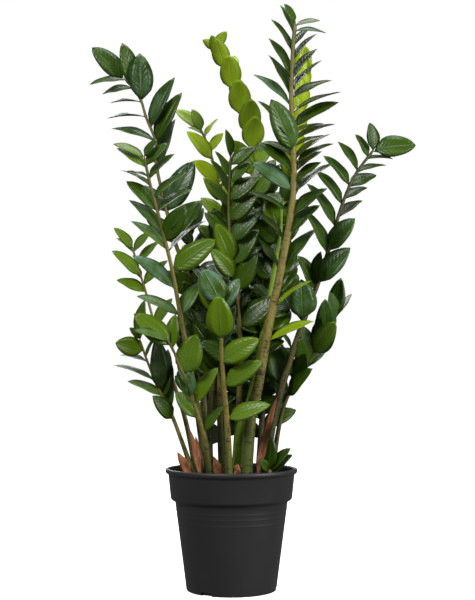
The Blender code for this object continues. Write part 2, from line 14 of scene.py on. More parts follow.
import bmesh
import bpy
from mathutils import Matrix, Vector, noise
from mathutils.bvhtree import BVHTree


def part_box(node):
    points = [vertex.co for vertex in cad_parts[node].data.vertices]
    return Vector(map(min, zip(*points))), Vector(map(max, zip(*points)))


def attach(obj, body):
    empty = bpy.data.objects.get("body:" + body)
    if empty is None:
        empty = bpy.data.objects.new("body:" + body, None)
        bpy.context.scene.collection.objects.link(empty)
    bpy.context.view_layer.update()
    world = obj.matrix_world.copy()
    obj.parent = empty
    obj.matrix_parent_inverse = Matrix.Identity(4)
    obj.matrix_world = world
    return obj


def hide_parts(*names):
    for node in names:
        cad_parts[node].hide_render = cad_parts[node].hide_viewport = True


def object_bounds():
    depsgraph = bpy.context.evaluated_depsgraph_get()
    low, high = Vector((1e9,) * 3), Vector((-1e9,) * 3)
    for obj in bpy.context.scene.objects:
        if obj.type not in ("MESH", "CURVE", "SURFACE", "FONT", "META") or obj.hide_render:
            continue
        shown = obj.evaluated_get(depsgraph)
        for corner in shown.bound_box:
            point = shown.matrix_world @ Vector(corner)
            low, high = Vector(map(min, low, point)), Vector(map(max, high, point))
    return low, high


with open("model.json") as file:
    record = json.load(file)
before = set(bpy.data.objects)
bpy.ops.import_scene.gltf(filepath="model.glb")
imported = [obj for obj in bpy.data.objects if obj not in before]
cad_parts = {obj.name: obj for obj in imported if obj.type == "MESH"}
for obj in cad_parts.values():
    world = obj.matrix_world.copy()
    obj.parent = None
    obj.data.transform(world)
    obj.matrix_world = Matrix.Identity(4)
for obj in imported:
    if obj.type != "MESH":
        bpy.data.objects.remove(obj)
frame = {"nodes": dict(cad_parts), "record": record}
MM = 0.001
cad_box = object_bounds()
pot_low, pot_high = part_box("pot")
POT_HEIGHT = pot_high.z - pot_low.z
print("pot", round(POT_HEIGHT / MM), "mm high; plant", round((cad_box[1].z - cad_box[0].z) / MM), "mm")

# %% [markdown]
# ## Shader maths in plain Python
#
# A procedural material is a small calculation on every point of a surface: "where the midrib is, be
# paler". Wiring that by hand takes dozens of nodes, so one small class wraps an output socket and lets
# Python's own operators add the Math nodes. `Look` starts a material and hands out its inputs.

# %% A socket that does arithmetic, and a material to hold it
class Socket:
    """An output socket of a node tree that can be added, multiplied and compared."""

    def __init__(self, tree, out):
        self.tree, self.out = tree, out

    def math(self, operation, *others):
        node = self.tree.nodes.new("ShaderNodeMath")
        node.operation = operation
        for slot, value in zip(node.inputs, (self, *others)):
            plug(self.tree, slot, value)
        return Socket(self.tree, node.outputs[0])

    def __add__(self, other):
        return self.math("ADD", other)

    def __sub__(self, other):
        return self.math("SUBTRACT", other)

    def __rsub__(self, other):
        return (self * -1.0).math("ADD", other)

    def __mul__(self, other):
        return self.math("MULTIPLY", other)

    def __pow__(self, other):
        return self.math("POWER", other)

    def __abs__(self):
        return self.math("ABSOLUTE")

    __radd__, __rmul__ = __add__, __mul__

    def sin(self):
        return self.math("SINE")

    def ramp(self, low, high):
        """0 below low, 1 above high and smooth between, or the reverse if low is the larger."""
        node = self.tree.nodes.new("ShaderNodeMapRange")
        node.interpolation_type = "SMOOTHSTEP"
        plug(self.tree, node.inputs["Value"], self)
        for name, value in (("From Min", low), ("From Max", high), ("To Min", 0.0), ("To Max", 1.0)):
            node.inputs[name].default_value = value
        return Socket(self.tree, node.outputs["Result"])


def plug(tree, slot, value):
    if isinstance(value, Socket):
        tree.links.new(value.out, slot)
    else:
        slot.default_value = value


class Look:
    """A Principled material under construction."""

    def __init__(self, name, **constants):
        self.material = bpy.data.materials.new(name)
        self.material.use_nodes = True
        self.tree = self.material.node_tree
        self.shader = self.tree.nodes["Principled BSDF"]
        for slot, value in constants.items():
            self.shader.inputs[slot.replace("_", " ")].default_value = value

    def node(self, kind, settings=None, output=0, **values):
        """Adds a node, sets what it is, then its sockets, and returns one output."""
        node = self.tree.nodes.new("ShaderNode" + kind)
        for name, value in (settings or {}).items():
            setattr(node, name, value)
        for name, value in values.items():
            plug(self.tree, node.inputs[name.replace("_", " ")], value)
        return Socket(self.tree, node.outputs[output])

    def split(self, vector):
        node = self.tree.nodes.new("ShaderNodeSeparateXYZ")
        plug(self.tree, node.inputs[0], vector)
        return [Socket(self.tree, out) for out in node.outputs]

    def attribute(self, name):
        return self.node("Attribute", {"attribute_name": name}, "Vector")

    def place(self, scale=(1.0, 1.0, 1.0)):
        """The point on the object, in metres, stretched by scale."""
        where = self.node("TexCoord", output="Object")
        return self.node("Mapping", Vector=where, Scale=scale)

    def noise(self, scale, where=None, detail=3.0, roughness=0.55):
        where = where or self.place()
        return self.node("TexNoise", Vector=where, Scale=scale, Detail=detail, Roughness=roughness)

    def blend(self, mask, first, second):
        """A colour that is first where the mask is 0 and second where it is 1."""
        node = self.tree.nodes.new("ShaderNodeMix")
        node.data_type = "RGBA"
        node.clamp_factor = True
        plug(self.tree, node.inputs[0], mask)
        for slot, value in ((node.inputs[6], first), (node.inputs[7], second)):
            plug(self.tree, slot, (*value, 1.0) if isinstance(value, tuple) and len(value) == 3 else value)
        return Socket(self.tree, node.outputs[2])

    def bump(self, height, distance, strength=1.0):
        made = self.node("Bump", Height=height, Distance=distance, Strength=strength)
        self.set(Normal=made)

    def set(self, **sockets):
        for slot, value in sockets.items():
            plug(self.tree, self.shader.inputs[slot.replace("_", " ")], value)
        return self.material


print("helpers ready")

# %% [markdown]
# ## Pieces
#
# Every piece rides on the one body of this part, `root`, gets its material, is told which solids of the
# imported model it stands for, and hides them. `finish_piece` does that for a bmesh.

# %% From a bmesh to a piece
def finish_piece(name, bm, look, slot, *nodes):
    bmesh.ops.recalc_face_normals(bm, faces=bm.faces)
    mesh = bpy.data.meshes.new(name)
    bm.to_mesh(mesh)
    bm.free()
    mesh.materials.append(look)
    for polygon in mesh.polygons:
        polygon.use_smooth = True
    obj = bpy.data.objects.new(name, mesh)
    bpy.context.scene.collection.objects.link(obj)
    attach(obj, "root")
    if nodes:
        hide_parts(*nodes)
    return obj


# %% [markdown]
# ## The leaflets' finish
#
# A zz leaflet is a thick waxy blade. Seen from above it has a pale midrib in a groove and faint side veins
# that run out and forwards from it. Its thin margin is drawn lighter, a painted highlight where light
# catches the edge. The underside is paler and duller. Old leaflets are nearly black green and young ones
# are lime. All of that could be painted in an image.
# Here it is worked out from the blade's own UV map, where u runs across and v along, and from an
# attribute that each leaflet carries: its tone from 0 for old to 1 for young, the strength of its painted
# sheen, a pale reflection painted into the colour, and a number of its own.

# %% The leaflets' material
OLD_GREEN = (0.0065, 0.024, 0.0003)
MID_GREEN = (0.030, 0.080, 0.0008)
FRESH_GREEN = (0.130, 0.235, 0.002)
LIME_GREEN = (0.46, 0.62, 0.005)
# The pale blue green of the painted sheen, a reflection painted into the blades' colour.
PAINTED_SHEEN_GREEN = (0.16, 0.30, 0.21)


def leaf_look():
    look = Look("waxy_leaflet", IOR=1.42)
    across, along, _ = look.split(look.node("UVMap", {"uv_map": "blade"}))
    tone, sheen, own = look.split(look.attribute("leaf_look"))
    side = look.node("Attribute", {"attribute_name": "leaf_side"}, "Fac")
    aside = abs(across - 0.5) * 2.0
    green = look.blend(tone.ramp(0.0, 0.33), OLD_GREEN, MID_GREEN)
    green = look.blend(tone.ramp(0.3, 0.68), green, FRESH_GREEN)
    green = look.blend(tone.ramp(0.62, 1.0), green, LIME_GREEN)
    mottle_and_sheen = look.noise(38.0)
    green = look.blend(mottle_and_sheen.ramp(0.42, 0.72) * 0.16, green, FRESH_GREEN)
    veins = ((along * 58.0 - aside * 15.0 + own * 6.0).sin() * 0.5 + 0.5) ** 3.0
    veins = veins * aside.ramp(0.02, 0.2) * aside.ramp(1.0, 0.7)
    green = look.blend(veins * 0.12, green, FRESH_GREEN)
    midrib = aside.ramp(0.10, 0.015)
    paler = look.blend(0.35, green, (0.20, 0.32, 0.06))
    green = look.blend(midrib * along.ramp(1.0, 0.7) * 0.55, green, paler)
    # Painted highlight: the thin margin is drawn paler, where light catches the blade's edge.
    green = look.blend(aside.ramp(0.93, 1.0) * 0.35, green, paler)
    # Painted sheen: a pale reflection painted into the colour in patches, away from the midrib.
    green = look.blend(sheen * mottle_and_sheen.ramp(0.3, 0.7) * (1.0 - midrib) * 0.9, green, PAINTED_SHEEN_GREEN)
    under = side.ramp(0.1, -0.1)
    green = look.blend(under * 0.22, green, (0.05, 0.11, 0.02))
    rough = 0.24 + mottle_and_sheen * 0.12 + under * 0.12 - midrib * 0.03
    groove = midrib * -0.8 + veins * 0.25 + look.noise(420.0, detail=2.0) * 0.03
    look.bump(groove, 0.0012, 0.7)
    return look.set(Base_Color=green, Roughness=rough)


LEAF = leaf_look()
print("leaflet material:", len(LEAF.node_tree.nodes), "nodes")

# %% [markdown]
# ## The stalks' finish
#
# The stalks are round and fleshy. They are olive green at the foot, tan higher up and darker at the
# tip, with short dark marks across them, closest together near the soil, and fine grooves along them.
# The attribute holds the share of the way up, how dark this stalk is (2 is the young one, still lime)
# and its own number. The UV map runs round and up.

# %% The stalks' material
def stalk_look():
    look = Look("fleshy_stalk", IOR=1.45)
    uv = look.node("UVMap", {"uv_map": "stalk"})
    share, dark, _ = look.split(look.attribute("stalk_look"))
    low = look.blend(dark, (0.085, 0.120, 0.020), (0.012, 0.024, 0.006))
    high = look.blend(dark, (0.300, 0.240, 0.055), (0.040, 0.044, 0.012))
    green = look.blend(share.ramp(0.02, 0.35), low, high)
    green = look.blend(share.ramp(0.65, 1.0) * 0.6, green, (0.040, 0.075, 0.012))
    streaks = look.noise(60.0, look.place((1.0, 1.0, 0.05)), 3.0)
    green = look.blend(streaks.ramp(0.45, 0.75) * 0.4, green, (0.26, 0.24, 0.06))
    spots = look.noise(1.0, look.node("Mapping", Vector=uv, Scale=(7.0, 210.0, 1.0)), 2.0, 0.5)
    marks = spots.ramp(0.50, 0.60) * (0.45 + 0.65 * share.ramp(0.7, 0.1))
    bands = look.noise(1.0, look.node("Mapping", Vector=uv, Scale=(1.5, 32.0, 1.0)), 2.0, 0.5)
    marks = marks * bands.ramp(0.38, 0.6)
    green = look.blend(marks * 0.9, green, (0.014, 0.010, 0.008))
    rings = bands.ramp(0.60, 0.68) * share.ramp(0.7, 0.05)
    green = look.blend(rings * 0.75, green, (0.018, 0.015, 0.009))
    young = dark.ramp(1.2, 1.8) * (1.0 - marks * 0.5)
    green = look.blend(young, green, (0.17, 0.30, 0.010))
    grooves = look.noise(1.0, look.node("Mapping", Vector=uv, Scale=(26.0, 9.0, 1.0)), 2.0)
    look.bump(grooves * 0.7 + spots * 0.35, 0.0012, 0.5)
    return look.set(Base_Color=green, Roughness=0.36 + streaks * 0.15)


STALK = stalk_look()
print("stalk material:", len(STALK.node_tree.nodes), "nodes")

# %% [markdown]
# ## The other finishes
#
# The pot is black recycled plastic with a fine grain, faint rings from the mould and dusty scuffs. The
# soil is dark peat with reddish fibres. The sheaths are dry paper with fibres along them, and the
# tubers, which the soil hides, have a corky skin.

# %% Pot, soil, sheath and tuber materials
def pot_look():
    look = Look("pot_plastic", IOR=1.5)
    cloud = look.noise(9.0, detail=5.0)
    scuffs = look.noise(70.0, look.place((1.0, 1.0, 0.35)), 6.0, 0.7).ramp(0.60, 0.80)
    shade = look.blend(cloud, (0.019, 0.019, 0.020), (0.034, 0.034, 0.035))
    shade = look.blend(scuffs * 0.22, shade, (0.05, 0.05, 0.05))
    grain = look.noise(1400.0, detail=2.0)
    rings = look.noise(160.0, look.place((0.02, 0.02, 1.0)), 2.0)
    look.bump(grain * 0.35 + rings * 0.5, 0.0004, 0.55)
    return look.set(Base_Color=shade, Roughness=0.40 + cloud * 0.12 + scuffs * 0.12)


def soil_look():
    look = Look("peat_soil")
    lumps = look.noise(90.0, detail=8.0, roughness=0.7)
    fibres = look.noise(260.0, look.place((1.0, 0.25, 1.0)), 4.0)
    earth = look.blend(lumps.ramp(0.35, 0.7), (0.010, 0.006, 0.004), (0.060, 0.030, 0.018))
    earth = look.blend(fibres.ramp(0.58, 0.7) * 0.7, earth, (0.19, 0.075, 0.035))
    look.bump(lumps + fibres * 0.4, 0.004, 0.9)
    return look.set(Base_Color=earth, Roughness=0.93 - fibres * 0.1)


def sheath_look():
    look = Look("dry_sheath")
    uv = look.node("UVMap", {"uv_map": "blade"})
    across, along, _ = look.split(uv)
    fibres = look.noise(1.0, look.node("Mapping", Vector=uv, Scale=(16.0, 2.0, 1.0)), 4.0, 0.65)
    patches = look.noise(55.0, detail=4.0)
    brown = look.blend(fibres.ramp(0.35, 0.65), (0.16, 0.045, 0.018), (0.42, 0.16, 0.055))
    brown = look.blend(patches.ramp(0.5, 0.75) * 0.7, brown, (0.48, 0.27, 0.15))
    brown = look.blend(along.ramp(0.75, 1.0) * 0.6, brown, (0.10, 0.035, 0.018))
    brown = look.blend(abs(across - 0.5).ramp(0.40, 0.5) * 0.4, brown, (0.55, 0.32, 0.16))
    look.bump(fibres, 0.0015, 0.8)
    return look.set(Base_Color=brown, Roughness=0.62 + patches * 0.2)


def tuber_look():
    look = Look("tuber_skin")
    cork = look.noise(120.0, detail=6.0, roughness=0.65)
    skin = look.blend(cork.ramp(0.4, 0.65), (0.22, 0.13, 0.055), (0.42, 0.30, 0.16))
    look.bump(cork, 0.002, 0.6)
    return look.set(Base_Color=skin, Roughness=0.6 + cork * 0.25)


POT, SOIL, SHEATH, TUBER = pot_look(), soil_look(), sheath_look(), tuber_look()
for name, node in frame["nodes"].items():
    if name.startswith("tuber"):
        node.data.materials.clear()
        node.data.materials.append(TUBER)
print("materials:", sorted(m.name for m in bpy.data.materials if m.users))

# %% [markdown]
# ## Where everything grows
#
# The tables give each frond's stalk as a line of points, its radius at the soil and at the tip, and its
# leaflets as rows: height on the stalk, heading in the front view with 0 up and + to the right, length,
# width, lean towards the front, and roll with 0 facing the front and 90 edge on. They are the ones that
# the imported solids were made from, so the finished leaflets lie where those do. `tone` is the frond's
# usual green, from 0 for old to 100 for young, and `looks` gives the tone and the painted sheen (a
# reflection painted into the colour) of single leaflets by their height.

# %% The fronds
FRONDS = {
    "frond_short_front": {
        "line": [
            (-4, -48, 205), (-6, -60, 286), (-10, -72, 341), (-16, -92, 414), (-17, -106, 457),
            (-16, -124, 519),
        ],
        "radii": (7.5, 3.0),
        "tone": 62,
        "leaves": [
            (455, -4, 80, 42, 12, 0), (516, -29, 66, 40, 6, 2), (493, -27, 82, 34, -4, 6),
            (504, 29, 62, 28, 0, 25), (478, -30, 88, 28, -22, 50), (437, 17, 82, 32, -12, 40),
            (415, 58, 76, 36, 14, 12), (373, 57, 82, 32, 18, 20), (314, 71, 80, 30, 14, 30),
        ],
        "looks": {
            455: (60, 0), 493: (62, 0), 516: (40, 70), 504: (30, 65), 437: (20, 40), 415: (62, 10),
            373: (62, 5), 314: (66, 10), 478: (45, 0),
        },
    },
    "frond_tall_centre": {
        "line": [
            (25, -38, 205), (35, -40, 317), (47, -42, 369), (65, -45, 471), (85, -48, 561),
            (102, -52, 652), (111, -56, 730), (109, -60, 812), (106, -64, 886), (109, -68, 971),
            (113, -70, 1014),
        ],
        "radii": (12.7, 3.6),
        "tone": 16,
        "leaves": [
            (1011, -28, 38, 18, 5, 45), (1008, 78, 44, 17, -5, 50), (995, -25, 56, 24, 5, 58),
            (998, 92, 56, 24, -8, 62), (973, 39, 50, 24, -8, 56), (962, -34, 66, 28, 6, 62),
            (947, 40, 70, 28, -14, 66), (918, -30, 78, 32, 6, 58), (915, 38, 76, 32, -14, 62),
            (894, 43, 80, 32, -10, 70), (886, -28, 82, 32, 8, 60), (881, 65, 78, 32, -6, 62),
            (868, -52, 84, 34, 8, 60), (856, 66, 96, 34, -8, 74), (831, 61, 92, 34, -4, 52),
            (821, 73, 58, 26, -10, 72), (806, -41, 92, 34, 4, 60), (807, 68, 80, 32, -6, 68),
            (790, -25, 96, 38, 12, 12), (795, 67, 60, 28, -12, 74), (779, -60, 56, 26, -8, 60),
            (774, 53, 84, 32, -10, 70), (766, 63, 76, 30, 0, 66), (753, -52, 80, 32, 6, 50),
            (753, 52, 62, 28, -12, 62), (734, 53, 56, 28, 4, 58), (719, -58, 86, 34, 10, 38),
            (716, 53, 88, 34, -6, 68), (677, -63, 84, 32, 2, 70), (677, 53, 76, 32, 0, 56),
            (646, 48, 70, 32, 2, 54), (630, -48, 86, 34, -4, 72), (582, 40, 94, 34, 0, 58),
            (579, -36, 78, 30, -8, 74), (516, 55, 76, 26, 4, 72), (454, 67, 86, 26, 6, 60),
        ],
        "looks": {
            868: (18, 60), 790: (36, 20), 719: (20, 50), 516: (74, 0), 454: (78, 0), 1011: (34, 5),
            1008: (34, 0), 995: (34, 10), 998: (30, 10),
        },
    },
    "frond_right": {
        "line": [
            (61, 0, 205), (72, 3, 290), (93, 8, 373), (125, 14, 471), (158, 22, 557), (182, 28, 631),
            (204, 34, 704), (229, 41, 761), (267, 50, 812),
        ],
        "radii": (10.0, 2.8),
        "tone": 24,
        "leaves": [
            (810, 84, 77, 32, 0, 15), (807, 103, 43, 20, -10, 60), (808, -7, 51, 22, 4, 30),
            (793, 90, 49, 22, -6, 68), (795, -30, 47, 22, 6, 50), (769, -35, 64, 26, 4, 54),
            (767, 76, 56, 26, -4, 68), (740, 65, 58, 28, 0, 48), (741, -42, 72, 28, 4, 52),
            (717, 62, 50, 26, 0, 58), (706, -39, 77, 30, 4, 54), (683, 55, 54, 26, 0, 60),
            (665, -34, 93, 32, 4, 56), (621, 39, 74, 32, 4, 35), (615, -28, 86, 32, 4, 56),
            (562, 42, 84, 34, 6, 34), (558, 6, 60, 24, 14, 50), (547, -26, 68, 30, 4, 48),
            (493, -3, 72, 38, 8, 6), (489, -34, 68, 26, -8, 60), (437, -37, 55, 22, -6, 74),
            (373, -8, 88, 38, -18, 10),
        ],
        "looks": {
            810: (36, 5), 493: (34, 35), 373: (22, 15), 621: (28, 20), 683: (28, 15), 562: (24, 30),
        },
    },
    "frond_left_front": {
        "line": [
            (-44, -4, 205), (-52, -10, 263), (-64, -22, 346), (-84, -45, 460), (-94, -56, 518),
            (-104, -66, 575), (-120, -78, 643), (-141, -90, 722), (-152, -96, 774),
        ],
        "radii": (8.0, 2.6),
        "tone": 24,
        "leaves": [
            (771, -67, 58, 24, 0, 52), (772, 36, 36, 18, 0, 40), (757, 44, 52, 26, 0, 40),
            (754, -57, 60, 26, 0, 50), (738, -77, 42, 22, -6, 74), (722, -60, 68, 26, 4, 72),
            (734, 45, 62, 28, -4, 55), (701, 52, 74, 30, -4, 58), (680, -46, 74, 32, 4, 44),
            (678, 57, 72, 32, -4, 60), (644, -47, 79, 32, 4, 56), (640, 47, 85, 34, -4, 50),
            (627, 31, 73, 34, 8, 15), (613, -52, 79, 32, 4, 60), (609, 50, 87, 32, -8, 72),
            (576, 55, 92, 38, 6, 6), (546, -53, 93, 34, 6, 46), (498, -66, 82, 32, 4, 58),
            (498, 30, 70, 32, -14, 40),
        ],
        "looks": {
            754: (52, 0), 546: (18, 60), 498: (45, 40), 576: (48, 5), 613: (46, 35), 771: (50, 0),
            644: (30, 20), 680: (34, 10),
        },
    },
    "frond_low_front_left": {
        "line": [
            (-36, -32, 205), (-46, -44, 272), (-55, -52, 305), (-70, -64, 355), (-81, -74, 386),
            (-91, -82, 407), (-100, -92, 432), (-113, -106, 456),
        ],
        "radii": (7.0, 2.2),
        "tone": 40,
        "leaves": [
            (444, -49, 82, 38, 8, 22), (452, -74, 62, 26, 0, 60), (438, 5, 60, 26, -4, 30),
            (393, 18, 74, 42, 10, 4), (370, -24, 55, 24, 0, 44), (355, -9, 50, 22, 6, 48),
            (350, -30, 56, 26, -8, 30), (341, 33, 75, 30, 6, 38), (315, -41, 62, 30, 6, 24),
            (290, 37, 56, 24, 4, 48),
        ],
        "looks": {
            444: (50, 0), 452: (45, 30), 438: (52, 0), 393: (58, 10), 370: (35, 60), 355: (35, 60),
            350: (30, 10), 341: (56, 5), 315: (55, 25),
        },
    },
    "frond_low_left": {
        "line": [
            (-66, -18, 205), (-91, -30, 277), (-105, -36, 315), (-119, -43, 345), (-135, -50, 378),
            (-144, -56, 402), (-153, -62, 427), (-163, -70, 458),
        ],
        "radii": (5.5, 2.0),
        "tone": 36,
        "leaves": [
            (435, -75, 50, 32, 4, 10), (415, -77, 50, 22, 0, 74), (382, -70, 77, 26, 0, 74),
            (355, -67, 65, 28, 2, 62), (314, -40, 58, 28, 8, 28), (454, 7, 70, 26, -4, 40),
            (456, -41, 26, 14, 0, 40), (363, -4, 95, 34, -2, 25), (349, 4, 90, 34, -12, 30),
            (327, 3, 80, 22, -4, 40), (423, 26, 40, 14, 0, 60),
        ],
        "looks": {
            435: (52, 0), 415: (20, 10), 382: (22, 10), 355: (48, 30), 314: (36, 0), 363: (12, 10),
            349: (12, 0),
        },
    },
    "frond_dark_middle": {
        "line": [
            (6, 10, 205), (14, 4, 345), (16, -4, 454), (8, -10, 545), (-2, -16, 635), (-5, -20, 701),
            (-3, -24, 738), (-1, -28, 787),
        ],
        "radii": (7.5, 2.4),
        "tone": 34,
        "leaves": [
            (783, -10, 50, 20, 4, 46), (769, 55, 54, 27, 0, 30), (747, -29, 54, 24, 4, 56),
            (738, 47, 52, 27, 2, 38), (721, -30, 66, 28, 4, 58), (707, 54, 68, 32, 4, 22),
            (693, -41, 62, 28, 4, 54), (670, 48, 68, 32, 6, 16), (632, 46, 74, 32, 4, 22),
            (626, -38, 76, 32, 6, 38), (596, -23, 76, 36, 12, 4), (590, 35, 78, 34, 8, 20),
            (568, -40, 68, 30, 14, 14), (543, 30, 76, 34, 10, 18),
        ],
        "looks": {
            596: (52, 0), 568: (50, 0), 632: (30, 10), 590: (34, 5),
        },
    },
    "frond_bright_back": {
        "line": [
            (-41, 26, 205), (-41, 32, 290), (-35, 40, 370), (-28, 48, 436), (-10, 58, 510), (6, 70, 581),
            (25, 80, 646), (35, 92, 717), (39, 100, 784), (32, 107, 842), (17, 111, 890), (1, 113, 938),
            (-12, 114, 975), (-34, 115, 1022),
        ],
        "radii": (8.0, 2.4),
        "tone": 78,
        "leaves": [
            (1019, 40, 35, 18, 10, 170), (1018, -55, 31, 16, 0, 160), (994, -25, 50, 22, 20, 175),
            (976, -20, 60, 31, 26, 175), (959, 12, 54, 27, -20, 10), (936, -8, 66, 37, 28, 180),
            (919, 6, 52, 27, -22, 10), (887, -6, 68, 39, 28, 180), (883, 0, 56, 29, -22, 10),
            (846, 5, 72, 39, 28, 180), (846, 12, 54, 29, -22, 10), (821, 9, 64, 39, 28, 180),
            (782, 30, 76, 35, -20, 20), (771, -30, 74, 35, 20, 20), (722, 35, 78, 35, -20, 20),
            (709, -32, 76, 35, 16, 20), (657, 36, 80, 35, -24, 20), (647, -34, 78, 35, 20, 20),
            (385, -10, 76, 32, 8, 30),
        ],
        "looks": {
            385: (66, 0), 657: (26, 5), 647: (30, 0), 722: (40, 0), 709: (44, 0), 782: (52, 0),
            771: (60, 0),
        },
    },
    "frond_lime_left": {
        "line": [
            (-18, 34, 205), (-22, 32, 345), (-20, 29, 454), (-12, 26, 563), (-10, 22, 654),
            (-15, 19, 700), (-23, 16, 736), (-34, 14, 782), (-46, 13, 818), (-60, 12, 846),
        ],
        "radii": (7.0, 2.2),
        "tone": 80,
        "leaves": [
            (842, -53, 56, 26, 0, 35), (838, -25, 42, 20, 6, 20), (832, -62, 36, 18, -4, 58),
            (826, 36, 42, 20, -4, 60), (800, 34, 42, 22, -6, 40), (786, -44, 68, 28, 4, 30),
            (745, -50, 58, 28, 6, 25), (742, 28, 50, 24, -10, 40), (712, -43, 56, 28, 8, 30),
            (716, 25, 44, 24, -8, 30), (672, -45, 64, 30, 0, 35), (668, 30, 60, 28, -14, 30),
            (620, -48, 70, 32, -6, 30),
        ],
        "looks": {
            842: (74, 25), 838: (76, 25), 786: (84, 10), 745: (84, 5), 712: (80, 0), 672: (70, 5),
            620: (62, 10),
        },
    },
    "frond_tall_left": {
        "line": [
            (-48, 54, 205), (-50, 66, 308), (-60, 78, 418), (-66, 88, 483), (-68, 95, 541),
            (-94, 105, 605), (-114, 113, 662), (-145, 128, 790), (-147, 133, 839), (-166, 137, 888),
            (-176, 140, 921), (-193, 142, 948), (-214, 144, 967),
        ],
        "radii": (8.5, 2.6),
        "tone": 22,
        "leaves": [
            (965, -46, 82, 33, 6, 18), (962, -98, 68, 29, 0, 58), (945, -101, 61, 29, 0, 58),
            (949, -13, 84, 31, 4, 32), (921, -2, 91, 37, 0, 12), (918, -92, 60, 29, 0, 74),
            (889, -93, 74, 31, 0, 74), (868, 25, 109, 33, -4, 42), (841, -74, 87, 33, 0, 62),
            (840, 28, 107, 35, 0, 40), (782, 17, 112, 35, -6, 50), (704, 28, 108, 39, 0, 8),
            (704, -50, 82, 35, -12, 40), (652, 35, 94, 35, -14, 30), (642, -45, 82, 35, -16, 40),
            (591, 40, 92, 35, -20, 30), (545, -52, 68, 31, 10, 10), (530, 30, 86, 35, -20, 30),
        ],
        "looks": {
            965: (28, 10), 962: (26, 10), 545: (50, 0), 704: (16, 25), 921: (20, 25), 949: (26, 5),
            889: (20, 20), 841: (26, 15), 868: (14, 25),
        },
    },
    "frond_far_left": {
        "line": [
            (-64, 20, 205), (-85, 25, 308), (-115, 31, 399), (-142, 38, 482), (-159, 43, 543),
            (-171, 47, 581), (-185, 50, 628),
        ],
        "radii": (6.0, 2.0),
        "tone": 52,
        "leaves": [
            (626, -42, 51, 22, 4, 42), (618, -50, 47, 20, -4, 66), (620, 41, 51, 22, -4, 45),
            (595, 42, 61, 24, -6, 50), (575, -49, 70, 28, 4, 44), (569, -43, 64, 24, -8, 60),
            (558, 44, 64, 26, -8, 45), (545, -68, 57, 28, 4, 48), (481, 30, 62, 26, -14, 40),
        ],
        "looks": {},
    },
    "frond_young_folded": {
        "line": [
            (8, -22, 205), (15, -19, 290), (34, -12, 345), (55, -8, 454), (72, -3, 545), (88, 2, 645),
            (91, 5, 691), (100, 8, 731), (118, 12, 802), (126, 16, 858), (134, 20, 935),
        ],
        "radii": (9.0, 2.4),
        "tone": 90,
        "leaves": [
            (933, 2, 63, 22, 0, 30), (930, 12, 49, 20, -6, 40), (910, -6, 65, 22, 6, 40),
            (905, 10, 67, 22, -6, 40), (872, -8, 71, 24, 6, 40), (866, 9, 73, 24, -8, 35),
            (831, -7, 73, 24, 6, 40), (825, 12, 73, 24, -8, 40), (787, -2, 71, 24, 6, 40),
            (782, 14, 71, 24, -8, 40), (747, 10, 66, 24, -6, 45),
        ],
        "looks": {},
    },
    "frond_low_right": {
        "line": [
            (74, 32, 205), (87, 36, 290), (102, 40, 346), (127, 46, 386), (160, 54, 438), (197, 62, 502),
        ],
        "radii": (6.0, 2.2),
        "tone": 28,
        "leaves": [
            (500, 7, 72, 31, 4, 28), (497, 36, 68, 27, -6, 58), (487, -7, 64, 29, 10, 38),
            (465, -3, 73, 35, 12, 5), (455, 6, 68, 29, -8, 40), (443, 3, 60, 27, -12, 40),
            (432, 31, 80, 37, 8, 10), (420, -16, 64, 31, 8, 30), (403, 45, 74, 29, -6, 45),
            (391, -4, 78, 33, 8, 30), (373, 18, 74, 33, 4, 30), (353, 40, 84, 31, 0, 48),
            (340, -20, 70, 30, -14, 30),
        ],
        "looks": {
            497: (20, 40), 487: (34, 20), 465: (32, 15), 455: (36, 10), 432: (52, 10), 500: (34, 5),
        },
    },
    "shoot_small_right": {
        "line": [
            (68, -28, 205), (69, -28, 224),
        ],
        "radii": (5.0, 3.0),
        "tone": 18,
        "leaves": [
            (222, 2, 60, 26, 4, 20), (220, 42, 54, 24, 8, 50), (214, 50, 52, 24, -4, 52),
            (218, -39, 32, 18, 6, 30), (221, -9, 46, 22, -14, 30),
        ],
        "looks": {},
    },
}

# %% The fronds at the back
# The line of the stalk, its radii, the lowest and highest pair, the number of pairs, and the longest
# leaflet.
BACK_FRONDS = {
    "frond_back_centre": (
        [(27, 10, 205), (39, 50, 345), (52, 75, 472), (60, 95, 581), (63, 115, 672), (60, 135, 770)],
        (8.0, 2.4), 480, 760, 8, 78,
    ),
    "frond_back_right": (
        [(50, 44, 205), (60, 66, 345), (71, 88, 454), (84, 108, 545), (92, 128, 636), (90, 146, 700)],
        (7.0, 2.4), 400, 688, 7, 74,
    ),
    "frond_back_left": (
        [(-12, 66, 205), (-18, 86, 345), (-33, 108, 454), (-54, 128, 545), (-72, 146, 618), (-83, 160, 672)],
        (7.0, 2.4), 380, 662, 7, 76,
    ),
}
BACK_TONE = 30
SHADED_TONES = (8, 42)
BACK_MARGIN = 4.0

# %% The sheaths
# Papery sheaths that stand round the stalks on the soil: foot, heading, length, width, lean, roll.
SOIL_TOP = 205.0
SHEATHS = {
    "sheath_left": ((-72, -36), -28, 52, 15, 6, 10),
    "sheath_left_long": ((-56, -36), -12, 90, 11, 4, 20),
    "sheath_left_inner": ((-54, -22), -9, 74, 10, -4, 30),
    "sheath_middle": ((-20, -36), -17, 40, 14, 4, 10),
    "sheath_right_long": ((46, -36), 14, 150, 13, 0, 20),
    "sheath_bud": ((9, -42), 4, 26, 13, 10, 0),
}

# %% [markdown]
# ## Leaflets that keep clear of each other
#
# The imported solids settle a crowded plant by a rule: every leaflet in turn is swung to the front or
# back, and then rolled, until it is clear of all that is there already. The same rule on the same
# coarse blades gives the same places here. A `BVHTree` answers quickly whether two skins cross. The
# finished blades are wider than the coarse ones, so some of the finished ones do cross.

